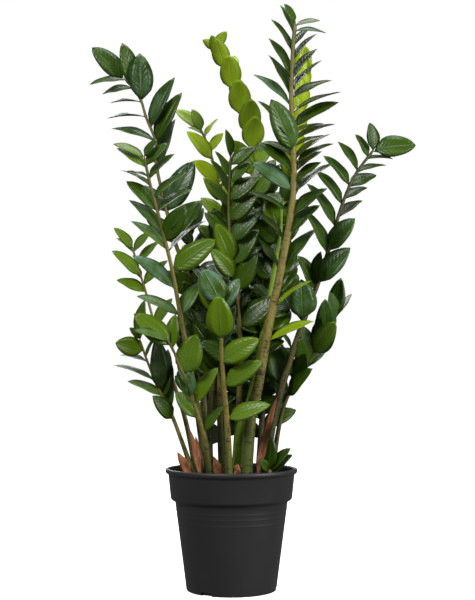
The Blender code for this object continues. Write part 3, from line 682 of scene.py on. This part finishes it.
# %% The coarse blade and the rule
STATIONS = ((0.0, 0.0), (0.13, 0.30), (0.42, 1.0), (0.76, 0.76), (1.0, 0.0))
STALK_HALF = 1.4
LEAF_HALF_THICK = 0.7
LEAF_FOLD = 14.0
LEAF_BEND = 22.0
SWINGS = (0, 5, -5, 10, -10, 15, -15, 20, -20, 26, -26, 32, -32, 40, -40, 50, -50)
TWISTS = (0, 14, -14, 28)
ROOM = 1.0
STEM_SIDES = 6
STEM_TAPER = 1.6
FOOT_SIZE = 1.1
STALK_FOOT = 150.0


def tree_of(sections):
    """The same skin as a search tree with the corners of its box, for testing what touches what."""
    around = len(sections[0])
    points = [point for section in sections for point in section]
    faces = [tuple(range(around))]
    for index, section in enumerate(sections[1:]):
        for k in range(around):
            low, up = index * around + k, index * around + (k + 1) % around
            if len(section) == 1:
                faces.append((low, up, len(points) - 1))
            else:
                faces.append((low, up, up + around, low + around))
    low = Vector([min(p[k] for p in points) for k in range(3)])
    high = Vector([max(p[k] for p in points) for k in range(3)])
    return low, high, BVHTree.FromPolygons(points, faces)


def touches(one, others):
    low, high, tree = one
    for other_low, other_high, other in others:
        near = all(low[k] <= other_high[k] and high[k] >= other_low[k] for k in range(3))
        if near and tree.overlap(other):
            return True
    return False


def smooth_line(points, steps=6):
    """A Catmull-Rom line through the points, in metres."""
    knots = [Vector(p) * MM for p in points]
    knots = [2 * knots[0] - knots[1], *knots, 2 * knots[-1] - knots[-2]]
    line = []
    for a, b, c, d in zip(knots, knots[1:], knots[2:], knots[3:]):
        for step in range(steps):
            t = step / steps
            square, cube = 2 * a - 5 * b + 4 * c - d, 3 * b - a - 3 * c + d
            line.append(0.5 * (2 * b + (c - a) * t + square * t**2 + cube * t**3))
    return [*line, knots[-2]]


def point_at(line, height):
    """The line's point and tangent at that height in millimetres, and its share of the way up."""
    share = (height * MM - line[0].z) / (line[-1].z - line[0].z)
    for low, high in zip(line, line[1:]):
        if high.z >= height * MM:
            part = (height * MM - low.z) / (high.z - low.z)
            return low.lerp(high, part), (high - low).normalized(), share
    return line[-1], (line[-1] - line[-2]).normalized(), 1.0


def stem_radius(radii, share):
    thick, thin = radii
    return (thin + (thick - thin) * (1 - min(max(share, 0), 1)) ** STEM_TAPER) * MM


def ring(centre, tangent, radius):
    """The points of a stalk's section, square to the tangent."""
    side = tangent.cross(Vector((0, 1, 0))).normalized()
    front = side.cross(tangent).normalized()
    turns = [math.tau * k / STEM_SIDES for k in range(STEM_SIDES)]
    return [centre + radius * (math.cos(a) * side + math.sin(a) * front) for a in turns]


def stem_sections(points, radii, foot):
    """Sections of a stalk from its foot under the soil to its tip."""
    line = smooth_line(points)
    bottom = Vector((line[0].x, line[0].y, foot * MM))
    sections = [ring(bottom, Vector((0, 0, 1)), stem_radius(radii, 0) * 0.9)]
    for index, point in enumerate(points):
        centre = Vector(point) * MM
        before = Vector(points[max(index - 1, 0)]) * MM
        after = Vector(points[min(index + 1, len(points) - 1)]) * MM
        tangent = Vector((0, 0, 1)) if index == 0 else (after - before).normalized()
        sections.append(ring(centre, tangent, stem_radius(radii, point_at(line, point[2])[2])))
    tip = Vector(points[-1]) * MM
    reach = (tip - Vector(points[-2]) * MM).normalized() * (radii[1] * MM)
    return [*sections, [tip + reach]]


def direction(heading, lean):
    """The unit vector that a leaflet points along."""
    turn, tilt = math.radians(heading), math.radians(lean)
    return Vector((math.sin(turn) * math.cos(tilt), -math.sin(tilt), math.cos(turn) * math.cos(tilt)))


def leaf_axes(row):
    """The unit vectors along, out of the face of and across a leaflet."""
    heading, _, _, lean, roll = row
    along = direction(heading, lean)
    face = (Vector((0, -1, 0)) + along * along.y).normalized()
    spin = math.radians(roll if heading <= 0 else -roll)
    face = face * math.cos(spin) + along.cross(face) * math.sin(spin)
    return along, face, along.cross(face)


def leaf_sections(foot, row, room=0.0):
    """Sections of a leaflet that starts at foot. room makes it bigger all round, for testing."""
    along, face, side = leaf_axes(row)
    room, length, half = room * MM, (row[1] + room) * MM, row[2] * MM / 2
    bend, fold = math.radians(LEAF_BEND), math.radians(LEAF_FOLD)
    reach = length / (2 * math.sin(bend / 2))
    sections = []
    for share, breadth in STATIONS:
        turned = bend * (0.5 - share)
        centre = foot + along * reach * (math.sin(bend / 2) - math.sin(turned))
        centre += face * reach * (math.cos(turned) - math.cos(bend / 2))
        if share == 1.0:
            return [*sections, [centre]]
        up = face * math.cos(turned) - along * math.sin(turned)
        out = max(breadth * half, STALK_HALF * MM) + room
        thick = (STALK_HALF if share < 0.1 else LEAF_HALF_THICK) * MM + room
        lift = up * (math.tan(fold) * out if share > 0.1 else 0)
        rims = [centre + side * out + lift, centre - side * out + lift]
        sections.append([rims[0], centre + up * thick, rims[1], centre - up * thick])


def foot_of(centre, tangent, radius, heading, lean):
    """Where in the stalk a leaflet starts: off the axis, on the side that the leaflet grows towards."""
    along = direction(heading, lean)
    out = along - tangent * along.dot(tangent) + Vector((0, -0.35 if lean >= 0 else 0.35, 0))
    return centre + out.normalized() * max(radius - FOOT_SIZE * MM, 0.4 * MM)


def fit_leaf(stem, row, own, siblings, placed):
    """Where the leaflet starts, its row and its search tree, swung and rolled until it is clear."""
    centre, tangent, radius = stem
    heading, length, width, lean, roll = row
    for clear in (1, 2):
        for twist, swing in itertools.product(TWISTS, SWINGS):
            tried = (heading, length, width, lean + swing, roll + twist)
            foot = foot_of(centre, tangent, radius, heading, lean + swing)
            leaf, room = leaf_sections(foot, tried), leaf_sections(foot, tried, ROOM)
            if touches(tree_of(room[1:]), placed) or touches(tree_of(room[clear:]), own):
                continue
            if not touches(tree_of(leaf), siblings):
                return foot, tried, tree_of(leaf)
    raise ValueError(f"a leaflet has no free place: {row}")


def back_leaves(low, high, pairs, longest):
    """Even pairs of leaflets for a frond at the back, longest in the middle and leaning to the back."""
    rows = []
    for k in range(pairs):
        share = k / (pairs - 1)
        height = low + (high - low) * share
        length = longest * (0.72 + 0.28 * math.sin(math.pi * (0.15 + 0.75 * share)))
        for side in (-1, 1):
            heading, lean = side * (52 - 26 * share), -34 + 16 * math.sin(2.3 * k + side)
            rows.append((round(height + 5 * side), heading, length, length * 0.42, lean, 24 + 6 * side))
    return rows


print("rule ready")

# %% [markdown]
# ## Leaflets in the shade
#
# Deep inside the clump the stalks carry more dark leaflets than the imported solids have. They close the
# gaps behind the front fronds. Each takes a free place between the others or, where there is none, is
# left out, as on a real plant, where those that get no light drop off. For each frond: the lowest and
# highest pair, the number of pairs and the length of the longest.

# %% The shaded leaflets
SHADED = {
    "frond_dark_middle": (390, 520, 6, 80), "frond_back_centre": (320, 740, 15, 88),
    "frond_back_right": (285, 660, 13, 86), "frond_back_left": (275, 640, 13, 88),
    "frond_bright_back": (400, 625, 9, 88), "frond_lime_left": (400, 655, 9, 86),
    "frond_young_folded": (430, 700, 9, 80), "frond_tall_left": (320, 560, 8, 80),
}

CHANCE_SEED = 31


def varied(row, chance):
    """A shaded leaflet's height and row, changed a little at random."""
    height, heading, length, width, lean, roll = row
    height += chance.uniform(-8, 8)
    size = chance.uniform(0.8, 1.1)
    return height, (
        heading + chance.uniform(-16, 16), length * size, width * size * chance.uniform(0.9, 1.15),
        lean + chance.uniform(-14, 22), roll + chance.uniform(-25, 30),
    )


def add_shaded(grown, stalks, placed):
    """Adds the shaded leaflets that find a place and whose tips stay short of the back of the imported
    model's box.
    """
    chance = random.Random(CHANCE_SEED)
    for name, (low, high, pairs, longest) in SHADED.items():
        path, radii, leaflets = grown[name]
        others = [tree for key, tree in stalks.items() if key != name]
        for usual in back_leaves(low, high, pairs, longest):
            height, row = varied(usual, chance)
            centre, tangent, share = point_at(path, height)
            stem_here = (centre, tangent, stem_radius(radii, share))
            try:
                foot, settled, tree = fit_leaf(stem_here, row, [stalks[name]], [], others + placed)
            except ValueError:
                continue
            if leaf_sections(foot, settled)[-1][0].y > cad_box[1][1] - BACK_MARGIN * MM:
                continue
            leaflets.append((foot, settled, chance.uniform(*SHADED_TONES) / 100, 0.0, height))
            placed.append(tree)


print(sum(len(back_leaves(*row)) for row in SHADED.values()), "shaded leaflets to try")

# %% Every leaflet finds its place
def grow_all():
    """For each frond, its stalk's line and radii, and each leaflet's foot, settled row, tone and painted
    sheen.
    """
    table = {name: (f["line"], f["radii"], f["leaves"]) for name, f in FRONDS.items()}
    for name, (line, radii, low, high, pairs, longest) in BACK_FRONDS.items():
        table[name] = (line, radii, back_leaves(low, high, pairs, longest))
    own = {
        name: tree_of(stem_sections(line, radii, STALK_FOOT)) for name, (line, radii, _) in table.items()
    }
    placed, grown = [], {}
    for name, (line, radii, rows) in table.items():
        path = smooth_line(line)
        others = [tree for key, tree in own.items() if key != name]
        siblings, leaflets = [], []
        for height, *row in rows:
            centre, tangent, share = point_at(path, height)
            stem_here = (centre, tangent, stem_radius(radii, share))
            foot, settled, tree = fit_leaf(stem_here, row, [own[name]], siblings, others + placed)
            usual = FRONDS[name]["tone"] if name in FRONDS else BACK_TONE
            looks = FRONDS[name]["looks"] if name in FRONDS else {}
            tone, sheen = looks.get(height, (usual, 0))
            leaflets.append((foot, settled, tone / 100, sheen / 100, height))
            placed.append(tree)
            siblings.append(tree)
        grown[name] = (path, radii, leaflets)
    add_shaded(grown, own, placed)
    return grown, list(own.values()) + placed


GROWN, PLACED = grow_all()
print(sum(len(leaflets) for _, _, leaflets in GROWN.values()), "leaflets on", len(GROWN), "stalks")

# %% [markdown]
# ## One blank for all blades
#
# Some four hundred leaflets share one shape, so it is made once, with few faces, and each leaflet bends
# a copy of it. The blank is a grid whose face is extruded into a second layer. The two layers are
# pulled apart in the middle and merged at the rim, which gives a closed lens with no side walls. The
# grid's UV map comes along for the finish. A subdivided plane with a Solidify modifier would give the
# same look with more faces.

# %% The blank
BLADE_ACROSS = 4
BLADE_ALONG = 10


def blade_blank():
    bm = bmesh.new()
    bm.loops.layers.uv.new("blade")
    bm.verts.layers.float_vector.new("leaf_look")
    bm.verts.layers.float.new("leaf_side")
    bmesh.ops.create_grid(bm, x_segments=BLADE_ACROSS, y_segments=BLADE_ALONG, size=1, calc_uvs=True)
    made = bmesh.ops.extrude_face_region(bm, geom=list(bm.faces), use_keep_orig=True)["geom"]
    upper = {item for item in made if isinstance(item, bmesh.types.BMVert)}
    for vert in bm.verts:
        lens = 1.0 - vert.co.x**2
        vert.co.z = lens if vert in upper else -lens
    bmesh.ops.remove_doubles(bm, verts=bm.verts, dist=1e-5)
    tip = [vert for vert in bm.verts if vert.co.y > 0.999]
    bmesh.ops.pointmerge(bm, verts=tip, merge_co=(0.0, 1.0, 0.0))
    mesh = bpy.data.meshes.new("blade_blank")
    bm.to_mesh(mesh)
    bm.free()
    return mesh


BLADE = blade_blank()
print("blank:", len(BLADE.vertices), "points,", len(BLADE.polygons), "faces")

# %% [markdown]
# ## Bending the blank into a leaflet
#
# A leaflet springs from the stalk by a short narrow foot, is widest a little below its middle and ends
# in a soft point. It is folded along the midrib, bent back along its length, and its margins are
# slightly wavy. The bend is that of the coarse blade. The outline is a sine curve, fuller and wider
# than its four corners.

# %% One leaflet
BLADE_HALF_THICK = 0.42
FOOT_SHARE = 0.09
FULLNESS = 1.13
WAVE = 0.055


def breadth(share):
    """The blade's half width as a share of the greatest."""
    full = math.sin(math.pi * min(share, 1.0) ** 0.82) ** 0.7 if share < 1 else 0.0
    return full * min(1.0, 0.25 + share / (2 * FOOT_SHARE))


def add_blade(bm, foot, row, look, phase, fold=LEAF_FOLD, wave=WAVE):
    """Adds a copy of the blank, bent into the leaflet of that row. look is (tone, painted sheen, own
    number).
    """
    start = len(bm.verts)
    bm.from_mesh(BLADE)
    bm.verts.ensure_lookup_table()
    look_layer = bm.verts.layers.float_vector["leaf_look"]
    side_layer = bm.verts.layers.float["leaf_side"]
    along, face, side = leaf_axes(row)
    length, half = row[1] * MM, row[2] * MM / 2 * FULLNESS
    bend = math.radians(LEAF_BEND)
    reach = length / (2 * math.sin(bend / 2))
    for vert in bm.verts[start:]:
        x, y, z = vert.co
        share = (y + 1) / 2
        turned = bend * (0.5 - share)
        centre = foot + along * reach * (math.sin(bend / 2) - math.sin(turned))
        centre += face * reach * (math.cos(turned) - math.cos(bend / 2))
        up = face * math.cos(turned) - along * math.sin(turned)
        out = max(breadth(share) * half, STALK_HALF * MM * (1 - share) ** 2)
        thick = BLADE_HALF_THICK * (1 + 1.6 * max(0.0, 1 - share / FOOT_SHARE)) * MM
        lift = math.tan(math.radians(fold)) * out * (math.sqrt(x * x + 0.02) - 0.14) * min(1, share / 0.1)
        lift += wave * half * x * x * math.sin(9 * share + phase + 1.7 * x) * math.sin(math.pi * share)
        vert.co = centre + side * (x * out) + up * (lift + z * thick)
        vert[look_layer] = look
        vert[side_layer] = z


print("breadth at a quarter, half and three quarters:", [round(breadth(s), 2) for s in (0.25, 0.5, 0.75)])

# %% [markdown]
# ## Leaflets of a frond
#
# All the leaflets of one frond are one piece. Their tones differ a little from one to the next, as on a
# real plant, so each gets a small seeded change. On some fronds the blades are wider than in the packed
# solid, which has only four corners to a blade: their soft outline needs that to cover as much.

# %% Leaflet pieces
SLOTS = {node["node"]: node["material_slot"] for node in frame["record"]["subparts"]}
WIDER = {"frond_young_folded": 1.5, "frond_right": 1.22, "frond_tall_left": 1.14, "frond_tall_centre": 1.1}


def build_leaflets(name, leaflets, rng):
    bm = bmesh.new()
    for foot, row, tone, sheen, _ in leaflets:
        tone = min(1.0, max(0.0, tone + rng.uniform(-0.05, 0.05)))
        heading, length, width, lean, roll = row
        row = (heading, length, width * WIDER.get(name, 1.0), lean, roll)
        add_blade(bm, foot, row, (tone, sheen, rng.random()), rng.uniform(0, math.tau))
    return finish_piece(name + "_leaflets", bm, LEAF, SLOTS[name], name)


rng = random.Random(11)
for name, (path, radii, leaflets) in GROWN.items():
    build_leaflets(name, leaflets, rng)
print("leaflet pieces:", len(GROWN))

# %% [markdown]
# ## Stalks
#
# A stalk is a long thin tube. A grid rolled into a tube keeps a clean UV map, which a chain of extruded
# rings would not: the first coordinate runs round the stalk and the second up it. The edges that meet
# are merged, the top is drawn together into a bud and the foot, down in the soil, is closed. The stalk
# swells a little where a leaflet springs from it.

# %% Stalk pieces
STALK_ROUND = 14
STALK_START = 196.0
SWELLING = 0.09
USUAL_DARKNESS = 0.2
DARK_STALKS = {
    "frond_right": 0.80, "frond_tall_centre": 0.12, "frond_tall_left": 0.30, "frond_left_front": 0.25,
    "frond_short_front": 0.05, "frond_young_folded": 2.0, "frond_low_right": 0.65, "frond_dark_middle": 0.45,
    "frond_back_right": 0.75, "frond_back_centre": 0.7, "frond_back_left": 0.6, "frond_bright_back": 0.35,
}


def stalk_frame(path, height):
    """Centre and the two cross directions of a stalk at a height in millimetres."""
    centre, tangent, _ = point_at(path, height)
    side = tangent.cross(Vector((0, 1, 0))).normalized()
    return centre, side, side.cross(tangent).normalized()


def build_stalk(name, path, radii, leaflets, dark, own):
    top = path[-1].z / MM
    steps = max(8, round((top - STALK_START) / 9))
    bm = bmesh.new()
    bm.loops.layers.uv.new("stalk")
    layer = bm.verts.layers.float_vector.new("stalk_look")
    bmesh.ops.create_grid(bm, x_segments=STALK_ROUND, y_segments=steps, size=1, calc_uvs=True)
    for vert in bm.verts:
        turn = math.pi * vert.co.x
        height = STALK_START + (top - STALK_START) * (vert.co.y + 1) / 2
        share = (height - SOIL_TOP) / (top - SOIL_TOP)
        centre, side, front = stalk_frame(path, max(height, SOIL_TOP))
        centre = centre - Vector((0, 0, max(0.0, SOIL_TOP - height) * MM))
        swell = sum(math.exp(-(((height - leaflet[4]) / 5) ** 2)) for leaflet in leaflets)
        radius = 0.95 * stem_radius(radii, share) * (1 + SWELLING * min(swell, 1.0))
        radius *= 1 + 0.03 * math.sin(3 * turn + height / 40)
        vert.co = centre + (side * math.cos(turn) + front * math.sin(turn)) * radius
        vert[layer] = (share, dark, own)
    bmesh.ops.remove_doubles(bm, verts=bm.verts, dist=1e-5)
    rims = [edge for edge in bm.edges if edge.is_boundary]
    tip = {vert for edge in rims for vert in edge.verts if vert.co.z > (top - 20) * MM}
    bmesh.ops.pointmerge(bm, verts=list(tip), merge_co=path[-1] + Vector((0, 0, radii[1] * MM * 0.8)))
    bmesh.ops.holes_fill(bm, edges=[edge for edge in bm.edges if edge.is_boundary], sides=0)
    return finish_piece(name + "_stalk", bm, STALK, SLOTS[name], name)


rng = random.Random(5)
for name, (path, radii, leaflets) in GROWN.items():
    build_stalk(name, path, radii, leaflets, DARK_STALKS.get(name, USUAL_DARKNESS), rng.random())
print("stalk pieces:", len(GROWN))

# %% [markdown]
# ## Sheaths
#
# Each stalk came up inside a papery scale. They have dried to brown strips, cupped across and torn at
# the edges. They are the same blank with a deeper fold, a rough edge and the sheaths' own finish, all
# one piece.

# %% The sheath piece
SHEATH_LIFT = 2.6
SHEATH_FOLD = 26.0
SHEATH_WAVE = 0.5
TEAR_SPACING = 9
TEAR_DEPTH = 1.6


def build_sheaths(placed):
    bm = bmesh.new()
    for (x, y), *row in SHEATHS.values():
        foot = Vector((x, y, SOIL_TOP + SHEATH_LIFT)) * MM
        foot, row, tree = fit_leaf((foot, Vector((0, 0, 1)), 0), row, [], [], placed)
        placed.append(tree)
        add_blade(bm, foot, row, (0.0, 0.0, x / 100), y, fold=SHEATH_FOLD, wave=SHEATH_WAVE)
    for vert in bm.verts:
        jitter = noise.noise_vector(vert.co / (TEAR_SPACING * MM)) * TEAR_DEPTH * MM
        vert.co += Vector((jitter.x, jitter.y, 0.0))
    return finish_piece("dry_sheaths", bm, SHEATH, "dry_sheath", *SHEATHS)


build_sheaths(list(PLACED))
print("sheaths:", len(SHEATHS))

# %% [markdown]
# ## The pot
#
# An injection-moulded nursery pot is a turned shape: a profile spun round its axis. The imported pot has
# few sides, so this one is spun finely from the same profile with lower ribs, and its corners are cut
# twice so that the lip, the collar's step and the three ribs catch the light softly. Three notches are
# cut at the foot.

# %% The pot's profile
POT_SIDES = 144
FOOT_RADIUS = 82.0
COLLAR_FOOT = 162.5
BODY_TOP_RADIUS = 102.6
FLOOR = 2.5
RIB_HEIGHTS = (126.0, 137.0, 146.0)
RIB = 0.4
COLLAR = [(107.0, 163.2), (110.4, 167.0), (115.0, 211.5)]
LIP = [(118.2, 212.2), (120.0, 215.0), (120.0, 218.5), (118.6, 221.0), (115.6, 221.4), (113.3, 219.5)]
INSIDE = [(112.9, 211.0), (108.3, 167.5), (105.5, 165.6), (100.5, 164.6), (80.2, FLOOR)]
NOTCH_ANGLES = (-33.0, 87.0, 207.0)
NOTCH_SIZE = (22.0, 18.0, 13.0)


def soften(profile, reach=0.9):
    """Cuts each corner of a profile at most reach millimetres away from it."""
    points = [Vector(p) for p in profile]
    soft = [points[0]]
    for before, corner, after in zip(points, points[1:], points[2:]):
        for other in (before, after):
            gap = other - corner
            soft.append(corner + gap * min(0.3, reach / gap.length))
    return [*soft, points[-1]]


def pot_profile():
    slope = (BODY_TOP_RADIUS - FOOT_RADIUS) / COLLAR_FOOT
    body = [(0.0, 0.0), (FOOT_RADIUS - 1.5, 0.0), (FOOT_RADIUS, 1.5)]
    for height in RIB_HEIGHTS:
        for step, out in ((-1.8, 0.0), (0.0, RIB), (1.8, 0.0)):
            body.append((FOOT_RADIUS + slope * (height + step) + out, height + step))
    body.append((BODY_TOP_RADIUS, COLLAR_FOOT))
    return soften(soften([*body, *COLLAR, *LIP, *INSIDE, (0.0, FLOOR)]), 0.35)


PROFILE = pot_profile()
print("profile:", len(PROFILE), "points")

# %% Spinning a profile
def revolve(bm, profile, segments):
    """Turns a profile of (radius, height) in millimetres round the Z axis into a closed skin."""
    points = [bm.verts.new((r * MM, 0, z * MM)) for r, z in profile]
    edges = [bm.edges.new(pair) for pair in zip(points, points[1:])]
    whole = {"axis": (0, 0, 1), "cent": (0, 0, 0), "angle": math.tau, "use_merge": True}
    bmesh.ops.spin(bm, geom=points + edges, steps=segments, **whole)
    bmesh.ops.remove_doubles(bm, verts=bm.verts, dist=1e-6)


def spun(point, angle):
    """The point turned about the Z axis."""
    x, y, z = point
    return Vector((x * math.cos(angle) - y * math.sin(angle), x * math.sin(angle) + y * math.cos(angle), z))


def cut(obj, cutters):
    """Cuts the cutters' bmesh out of obj and leaves a plain mesh."""
    mesh = bpy.data.meshes.new("cutter")
    cutters.to_mesh(mesh)
    cutters.free()
    helper = bpy.data.objects.new("cutter", mesh)
    bpy.context.scene.collection.objects.link(helper)
    boolean = obj.modifiers.new("Notches", "BOOLEAN")
    boolean.operation, boolean.solver, boolean.object = "DIFFERENCE", "EXACT", helper
    graph = bpy.context.evaluated_depsgraph_get()
    made = bpy.data.meshes.new_from_object(obj.evaluated_get(graph))
    obj.modifiers.clear()
    obj.data = made
    bpy.data.objects.remove(helper)


def build_pot():
    bm = bmesh.new()
    revolve(bm, PROFILE, POT_SIDES)
    pot = finish_piece("nursery_pot", bm, POT, "pot_plastic", "pot")
    notches = bmesh.new()
    for angle in NOTCH_ANGLES:
        made = bmesh.ops.create_cube(notches, size=1)["verts"]
        bmesh.ops.scale(notches, vec=Vector(NOTCH_SIZE) * MM, verts=made)
        bmesh.ops.translate(notches, vec=(0, -FOOT_RADIUS * MM, 0), verts=made)
        for vert in made:
            vert.co = spun(vert.co, math.radians(angle))
    cut(pot, notches)
    pot.data.set_sharp_from_angle(angle=math.radians(40))
    return pot


pot = build_pot()
print("pot:", len(pot.data.polygons), "faces")

# %% [markdown]
# ## The soil
#
# Potting soil is peat with bits of bark. Its body is a spun shape whose upper skin is pushed up and
# down by noise. Loose crumbs and bark bits lie on it: small spheres with few faces, flattened and
# turned at random.

# %% Soil and crumbs
SOIL_RINGS = 26
SOIL_RADIUS = 110.4
SOIL_ROUGHNESS = 2.2
SOIL_SIDES = 96
SOIL_UNDERSIDE = [(0.0, 3.0), (79.4, 3.0), (99.7, 165.4), (107.4, 169.0)]
CRUMB_MARGIN = 7


def soil_height(x, y):
    """The height of the soil's skin in millimetres."""
    away = math.hypot(x, y) / SOIL_RADIUS
    lumps = noise.noise((x / 17, y / 17, 3.0)) + 0.5 * noise.noise((x / 6, y / 6, 8.0))
    return SOIL_TOP - 5.0 * away**4 + SOIL_ROUGHNESS * lumps * 0.6 - 0.8


def build_soil():
    bm = bmesh.new()
    skin_line = [(SOIL_RADIUS * k / SOIL_RINGS, SOIL_TOP) for k in range(SOIL_RINGS, -1, -1)]
    revolve(bm, [*SOIL_UNDERSIDE, *skin_line], SOIL_SIDES)
    for vert in bm.verts:
        if vert.co.z > 0.2:
            vert.co.z = soil_height(vert.co.x / MM, vert.co.y / MM) * MM
    return finish_piece("peat_soil", bm, SOIL, "soil", "soil")


def build_crumbs(name, look, count, size, rng):
    bm = bmesh.new()
    for _ in range(count):
        away, turn = (SOIL_RADIUS - CRUMB_MARGIN) * math.sqrt(rng.random()), rng.uniform(0, math.tau)
        x, y = away * math.cos(turn), away * math.sin(turn)
        made = bmesh.ops.create_icosphere(bm, subdivisions=1, radius=1)["verts"]
        length = rng.uniform(*size)
        shape = Vector((length, length * rng.uniform(0.35, 0.7), length * rng.uniform(0.2, 0.4))) * MM
        spin, tip = rng.uniform(0, math.tau), rng.uniform(-0.5, 0.5)
        for vert in made:
            point = Vector([a * b for a, b in zip(vert.co, shape)])
            point += noise.noise_vector(vert.co * 3 + Vector((x, y, 0))) * length * 0.12 * MM
            point = Vector((point.x, point.y, point.z + point.x * tip))
            vert.co = spun(point, spin) + Vector((x, y, soil_height(x, y) + shape.z / MM * 0.5)) * MM
    return finish_piece(name, bm, look, "soil", "soil")


build_soil()
build_crumbs("soil_crumbs", SOIL, 260, (1.6, 4.2), random.Random(2))
build_crumbs("bark_bits", SHEATH, 60, (2.5, 6.5), random.Random(9))
print("soil done")

# %% [markdown]
# ## Floor, light and camera
#
# A white floor, a soft key light from the upper left, a tall fill from the right, one above that draws
# the edges of the leaflets, and one behind for the far side. The floor and the backdrop look white, but
# the floor lights nothing and the backdrop little, which keeps the dark leaflets dark. The camera looks
# straight ahead from 0.41 m up, so the pot's sides stay upright, and its shift brings the whole plant
# into the picture.

# %% Stage
def area_light(name, place, aim, size, power):
    data = bpy.data.lights.new(name, "AREA")
    data.shape, data.size, data.size_y, data.energy = "RECTANGLE", size[0], size[1], power
    light = bpy.data.objects.new(name, data)
    bpy.context.scene.collection.objects.link(light)
    light.location = place
    light.rotation_euler = (Vector(aim) - Vector(place)).to_track_quat("-Z", "Y").to_euler()


def build_floor():
    bm = bmesh.new()
    bmesh.ops.create_grid(bm, x_segments=1, y_segments=1, size=9)
    mesh = bpy.data.meshes.new("floor")
    bm.to_mesh(mesh)
    bm.free()
    pale = Look("pale_floor", Base_Color=(0.93, 0.93, 0.93, 1), Roughness=0.9, Specular_IOR_Level=0.0)
    pale.set(Emission_Color=(1.0, 1.0, 1.0, 1.0), Emission_Strength=1.0)
    mesh.materials.append(pale.material)
    floor = bpy.data.objects.new("floor", mesh)
    bpy.context.scene.collection.objects.link(floor)
    floor.visible_diffuse = floor.visible_glossy = False


def build_world():
    world = bpy.data.worlds.new("studio")
    world.use_nodes = True
    nodes, links = world.node_tree.nodes, world.node_tree.links
    mixed = nodes.new("ShaderNodeMixShader")
    shades = {1: nodes["Background"], 2: nodes.new("ShaderNodeBackground")}
    for slot, strength in ((1, WORLD_LIGHT), (2, BACKDROP_LIGHT)):
        shades[slot].inputs["Color"].default_value = (1.0, 1.0, 1.0, 1.0)
        shades[slot].inputs["Strength"].default_value = strength
        links.new(shades[slot].outputs["Background"], mixed.inputs[slot])
    links.new(nodes.new("ShaderNodeLightPath").outputs["Is Camera Ray"], mixed.inputs[0])
    links.new(mixed.outputs["Shader"], nodes["World Output"].inputs["Surface"])
    bpy.context.scene.world = world


WORLD_LIGHT = 0.16
BACKDROP_LIGHT = 1.0
build_floor()
build_world()
area_light("key", (-1.1, -2.1, 2.4), (0.0, 0.0, 0.6), (0.8, 0.8), 54)
area_light("fill", (2.0, -1.2, 1.3), (0.0, 0.0, 0.5), (0.8, 1.6), 46)
area_light("top", (0.1, 0.4, 2.6), (0.0, 0.0, 0.6), (1.4, 1.0), 24)
area_light("back", (-0.7, 2.4, 1.7), (0.0, 0.0, 0.5), (1.4, 1.4), 30)

# %% Camera
EYE = (0.011, -2.2, 0.41)
AIM = (0.011, 0.0, 0.41)
FOCAL_LENGTH = 72.5
UPWARD_SHIFT = 0.107
lens = bpy.data.cameras.new("camera")
lens.lens, lens.shift_y = FOCAL_LENGTH, UPWARD_SHIFT
camera = bpy.data.objects.new("camera", lens)
bpy.context.scene.collection.objects.link(camera)
camera.location = EYE
camera.rotation_euler = (Vector(AIM) - Vector(EYE)).to_track_quat("-Z", "Y").to_euler()
bpy.context.scene.camera = camera
bpy.context.scene.view_settings.view_transform = "Standard"
print("camera at", EYE)
